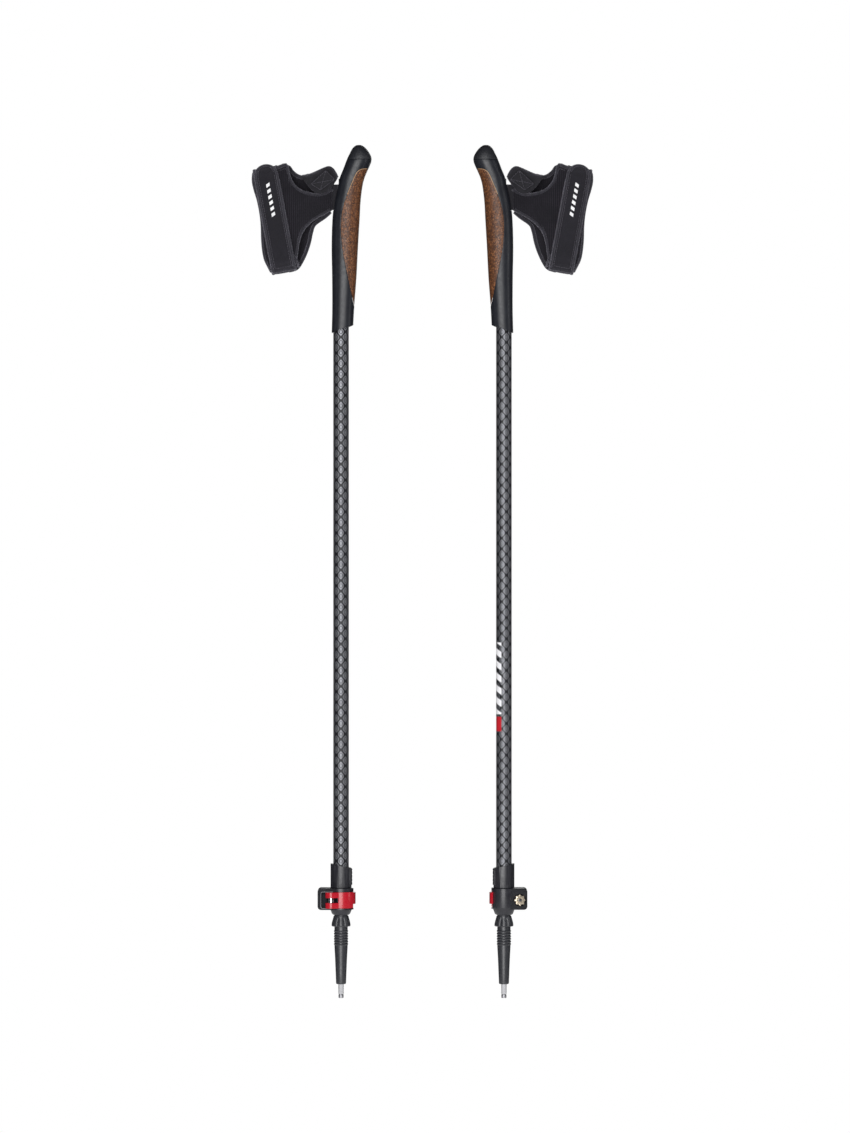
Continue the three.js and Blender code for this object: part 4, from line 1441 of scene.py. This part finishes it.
    def make_mark(self) -> None:
        """A row of plain pale dashes on the tab, as a generic reflective print."""
        count, first, pitch = 6, 19.0, 6.1
        half, tall, lean = 1.9, 3.4, 0.9
        dashes = []
        for i in range(count):
            v = first + pitch * i
            corners = [(-half, v + lean), (half, v - lean), (half, v + tall - lean),
                       (-half, v + tall + lean)]
            front = [tuple(self.on_band(u, q, self.front_y(q) - 1.62)) for u, q in corners]
            back = [tuple(self.on_band(u, q, self.front_y(q) - 1.3)) for u, q in corners]
            dashes.append(skin("dash", [front, back]))
        self.fit(joined("pale_dashes", dashes), REFLECTIVE)

    def stitches(self, name: str, path: Sequence[Vector], looped: bool = False) -> bpy.types.Object:
        """A row of small raised stitches along a path.

        Args:
            name: The piece's name.
            path: The line that the stitches follow.
            looped: Whether the line closes on itself.

        Returns:
            One object with every stitch.
        """
        points = [tuple(p) for p in path]
        total = sum(math.dist(a, b) for a, b in zip(points, points[1:]))
        count = max(3, int(total / self.stitch_pitch))
        line = smooth_path(points, count, looped)
        made = []
        for a, b in zip(line, line[1:]):
            a, b = Vector(a), Vector(b)
            short = [tuple(a.lerp(b, t)) for t in (0.12, 0.3, 0.5, 0.7, 0.88)]
            stitch = piping("stitch", short, 0.55, 0.45, lambda i: Vector((0, -1, 0.01)), corners=6)
            made.append(stitch)
        return joined(name, made)

    def depth_at(self, x: float) -> float:
        """How far a hand panel stands from the strap's middle plane, least at the grip."""
        share = min(max((x + 66) / 56, 0), 1)
        return self.near_y + (self.deep_y - self.near_y) * (1 - share) ** 1.15

    def panel(self, name: str, hand: int, upper: Sequence[Flat],
              lower: Sequence[Flat]) -> tuple[bpy.types.Object, list[Point], list[Point]]:
        """One mesh panel between the band and the webbing, blended between its four edges.

        Args:
            name: The piece's name.
            hand: -1 for the front panel and 1 for the palm panel.
            upper: The thumb edge, from the band to the grip, as (x, z).
            lower: The finger edge, from the band to the grip, as (x, z).

        Returns:
            The panel and its upper and lower edges in space.
        """
        across, down = 40, 30
        high, low = smooth_path(upper, across), smooth_path(lower, across)
        rows = []
        for j in range(down + 1):
            t = j / down
            row = []
            for i in range(across + 1):
                x = high[i][0] * (1 - t) + low[i][0] * t
                z = high[i][1] * (1 - t) + low[i][1] * t
                bulge = 1.6 * math.sin(math.pi * t) * math.sin(math.pi * i / across) ** 0.8
                y = hand * (self.depth_at(x) + bulge)
                row.append((x, y, z))
            rows.append(row)
        points, faces = [], []
        count = across + 1
        half_thick = 0.8
        for lift in (half_thick, -half_thick):
            points += [(x, y + lift, z) for row in rows for x, y, z in row]
        layer = count * (down + 1)
        for j in range(down):
            for i in range(across):
                a = j * count + i
                quad = [a, a + 1, a + 1 + count, a + count]
                faces += [quad, [k + layer for k in quad]]
        border = [*range(across), *(j * count + across for j in range(down)),
                  *(down * count + i for i in range(across, 0, -1)),
                  *(j * count for j in range(down, 0, -1))]
        for a, b in zip(border, border[1:] + border[:1]):
            faces.append([a, b, b + layer, a + layer])
        sheet = shade(mesh_object(name, points, faces), 60)
        return sheet, rows[0], rows[-1]

    def make_panels(self) -> None:
        """The front hand panel and the palm panel, with their bindings."""
        front_up = [(-75, 851), (-68.5, 853.6), (-62, 855.8), (-56.3, 857.5), (-54.5, 849),
                    (-50.5, 839), (-43, 832), (-33, 828.4), (-22, 827.6), (-13, 831), (-9.5, 834.6)]
        front_low = [(-56, 754), (-49, 755), (-46.2, 766), (-44.5, 778), (-40.5, 790), (-33, 799.5),
                     (-24, 806), (-15, 811), (-9.5, 814.4)]
        back_up = [(-75, 851), (-68.5, 853.6), (-62, 856), (-55.2, 858.2), (-51, 853),
                   (-45.5, 848.6), (-39.5, 847), (-33, 848.6), (-24, 845), (-15, 839), (-9.5, 835.6)]
        back_low = [(-54, 751), (-46, 753.5), (-41, 760.5), (-36.5, 770), (-33.2, 780),
                    (-30.8, 791), (-27.5, 798.6), (-17, 806), (-9.5, 812.6)]
        sides = (("hand", -1, front_up, front_low), ("palm", 1, back_up, back_low))
        for word, hand, up, low in sides:
            sheet, high, foot = self.panel(f"{word}_panel_mesh", hand, up, low)
            self.fit(sheet, MESH_CLOTH, [f"strap_{word}_panel"])
            facing, tapes = Vector((0.15, hand, 0)), []
            for edge, line, wide in (("thumb", high[4:], 4.6), ("finger", foot[:-1], 4.2)):
                tape = piping(f"{word}_{edge}_binding", line, wide, 2.3, lambda i, f=facing: f)
                tapes.append(self.fit(tape, BINDING))
                drop = 3.4 if edge == "finger" else -3.4
                seam = [Vector((x, y + hand * 0.95, z + drop)) for x, y, z in line[2:-6]]
                tapes.append(self.fit(self.stitches(f"{word}_{edge}_stitch", seam), THREAD))
            places = [vertex.co for vertex in sheet.data.vertices]
            wide = max(place.x for place in places) - min(place.x for place in places)
            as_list(tapes)

    def make_loop(self) -> None:
        """The folded thumb loop that bridges the two panels at the top, box-stitched to the webbing."""
        steps, corners, thick = 36, 16, 1.9
        ridge = smooth_path([(-40, 848.5), (-33, 849.6), (-25, 852.8), (-18, 856), (-12.5, 857.6),
                             (-8.6, 855.6), (-5.6, 851.4), (-3.6, 847)], steps)
        foot = smooth_path([(-40, 845.5), (-34, 837), (-27, 830.5), (-20, 829), (-14, 831.5),
                            (-9.8, 836), (-6.8, 840.6), (-4.4, 844)], steps)
        outer, inner = [], []
        for i, ((x, z), (fx, fz)) in enumerate(zip(ridge, foot)):
            share = i / steps
            wide = 8.2 * (1 - share) ** 0.7 + 1.8
            for store, grow in ((outer, 0.0), (inner, -thick)):
                row = []
                for k in range(corners + 1):
                    a = math.pi * k / corners
                    rise = math.sin(a) ** 0.62
                    px = fx + (x - fx) * rise
                    pz = fz + (z + grow - fz) * rise
                    row.append((px, -(wide + grow * 0.8) * math.cos(a), pz))
                store.append(row)
        rings = [o + list(reversed(n)) for o, n in zip(outer, inner)]
        loop = shade(skin("thumb_loop_tape", rings), 60)
        self.fit(loop, WEBBING, ["strap_thumb_loop"])
        rim = [row[corners // 2] for row in outer]
        self.fit(piping("thumb_loop_binding", [(x, y, z - 0.6) for x, y, z in rim], 4.4, 2.2,
                        lambda i: Vector((0, 0, 1))), BINDING)
        patch = [(-30.5, 838.5), (-15.5, 852.5), (-6.5, 843.5), (-21, 832.5)]
        lines = [*zip(patch, patch[1:] + patch[:1]), (patch[0], patch[2]), (patch[1], patch[3])]
        made = []
        for (ax, az), (bx, bz) in lines:
            path = []
            for t in range(9):
                x, z = ax + (bx - ax) * t / 8, az + (bz - az) * t / 8
                path.append(Vector((x, -self.loop_depth(x), z)))
            made.append(self.stitches("box", path))
        self.fit(self.patch("thumb_loop_patch", patch), WEBBING)
        self.fit(joined("thumb_loop_box_stitch", made), THREAD)

    def loop_depth(self, x: float) -> float:
        """How far the box-stitched patch stands in front of the strap's middle plane."""
        at_grip, slope = 9.6, -0.12
        return at_grip + (x + 6) * slope

    def patch(self, name: str, corners: Sequence[Flat]) -> bpy.types.Object:
        """A folded square of webbing under the box stitching."""
        front = [(x, -self.loop_depth(x) + 0.25, z) for x, z in corners]
        back = [(x, -self.loop_depth(x) + 2.2, z) for x, z in corners]
        return round_edges(skin(name, [front, back]), 0.7, 3)

    def make_webbing(self) -> None:
        """The flat tongue that goes into the grip and turns round its pin."""
        low, high = self.pole.reach("strap_anchor_pin")
        x, bottom, top = (low.x + high.x) / 2, low.z + 5.4, high.z - 6
        tongue = side_plate("anchor_webbing_tongue", [
            (-26, bottom + 3), (-12.5, bottom - 1.2), (-10.6, bottom - 1), (-9.4, bottom + 0.3),
            (x - 1, bottom + 0.3), (x - 1, top), (-9, top), (-26, top + 1)], -1.3, 1.3)
        loop = turned("loop", [(0, bottom), (3.2, bottom), (3.2, top), (0, top)], 32)
        moved(loop, shift(x, 0, 0))
        hole = turned("hole", [(0, 700), (1.8, 700), (1.8, 900), (0, 900)], 24)
        moved(hole, shift(x, 0, 0))
        tongue = cut(join(tongue, loop), hole)
        self.fit(round_edges(tongue, 0.4), WEBBING, ["strap_anchor_webbing"])


# ---- studio -------------------------------------------------------------------------------------


@dataclass
class Studio:
    """The floor, the soft light and the camera."""

    span: float = 1.1688
    camera_shift: float = 0.0026
    camera_height: float = 0.445
    floor_radius: float = 1.6
    drop: float = 0.46
    lens: float = 135.0
    sensor: float = 36.0

    def build(self) -> None:
        """Sets up the room around the poles."""
        low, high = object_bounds()
        middle = (low + high) / 2
        self.make_floor(low.z, middle)
        self.make_world()
        self.make_lights(middle)
        self.make_camera(low)
        scene = bpy.context.scene
        scene.view_settings.view_transform = "Standard"
        scene.view_settings.look = "None"

    def make_floor(self, level: float, middle: Vector) -> None:
        """A pale floor a little way under the hanging tips."""
        centre = (middle.x / MM, middle.y / MM)
        outline = arc(centre, self.floor_radius / MM, 0, 357, 119)
        points = [(x, y, (level - self.drop) / MM) for x, y in outline]
        floor = moved(mesh_object("studio_floor", points, [list(range(len(points)))]), Matrix.Scale(MM, 4))
        w = Wires("pale_floor")
        cloud = w.scaled(w.noise(900, 2), 0.3, 0.7)
        w.link(w.blend(cloud, (0.86, 0.86, 0.86), (0.9, 0.9, 0.9)), "Base Color")
        w.fixed(Roughness=0.9, Specular_IOR_Level=0.1, Emission_Color=(1, 1, 1, 1),
                Emission_Strength=0.6)
        floor.data.materials.append(w.material)
        floor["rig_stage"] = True

    def make_world(self) -> None:
        """A white surround to look at, which lights the poles more dimly than it looks."""
        world = bpy.data.worlds.new("studio_surround")
        bpy.context.scene.world = world
        world.use_nodes = True
        tree = world.node_tree
        tree.nodes.clear()
        seen = tree.nodes.new("ShaderNodeBackground")
        lit = tree.nodes.new("ShaderNodeBackground")
        seen.inputs["Color"].default_value = (1, 1, 1, 1)
        seen.inputs["Strength"].default_value = 1.0
        lit.inputs["Color"].default_value = (0.95, 0.97, 1.0, 1)
        lit.inputs["Strength"].default_value = 0.07
        ray = tree.nodes.new("ShaderNodeLightPath")
        mix = tree.nodes.new("ShaderNodeMixShader")
        out = tree.nodes.new("ShaderNodeOutputWorld")
        tree.links.new(ray.outputs["Is Camera Ray"], mix.inputs[0])
        tree.links.new(lit.outputs[0], mix.inputs[1])
        tree.links.new(seen.outputs[0], mix.inputs[2])
        tree.links.new(mix.outputs[0], out.inputs[0])

    def make_lights(self, middle: Vector) -> None:
        """Tall soft panels: one by the camera, one to each side and one behind."""
        panels = [("front_panel", (-0.25, -2.7, 0.1), 1.5, 2.6, 88),
                  ("left_panel", (-2.4, -0.7, 0.5), 0.5, 1.8, 2),
                  ("right_panel", (2.4, -0.9, 0.5), 0.6, 1.8, 9),
                  ("back_panel", (0.4, 2.4, 0.9), 1.2, 1.6, 10)]
        for name, offset, wide, tall, power in panels:
            lamp = bpy.data.lights.new(name, "AREA")
            lamp.shape = "RECTANGLE"
            lamp.size, lamp.size_y = wide, tall
            lamp.energy = power
            obj = bpy.data.objects.new(name, lamp)
            obj.location = middle + Vector(offset)
            aim = middle + Vector((0, 0, 0.05)) - obj.location
            obj.rotation_mode = "QUATERNION"
            obj.rotation_quaternion = aim.to_track_quat("-Z", "Y")
            bpy.context.scene.collection.objects.link(obj)

    def make_camera(self, low: Vector) -> None:
        """A long lens level with the middle of the pair, looking along +Y."""
        lens = bpy.data.cameras.new("studio_camera")
        lens.lens = self.lens
        lens.sensor_width = self.sensor
        lens.clip_end = 60
        cam = bpy.data.objects.new("studio_camera", lens)
        distance = self.span * self.lens / self.sensor
        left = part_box("left_upper_tube")
        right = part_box("right_upper_tube")
        across = (left[0].x + left[1].x + right[0].x + right[1].x) / 4
        cam.location = (across + self.camera_shift, -distance, low.z + self.camera_height)
        cam.rotation_euler = (math.radians(90), 0, 0)
        bpy.context.scene.collection.objects.link(cam)
        bpy.context.scene.camera = cam


def main() -> None:
    """Builds both poles and the studio."""
    logging.basicConfig(level=logging.INFO, format="%(name)s: %(message)s")
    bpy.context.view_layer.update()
    studio = Studio()
    studio.build()
    wardrobe = Wardrobe()
    for side in Side:
        pole = PoleFrame(side, wardrobe)
        for assembly in (Grip(pole), Shaft(pole), Clamp(pole), Tip(pole), GloveStrap(pole)):
            assembly.build()


if __name__ == "__main__":
    main()
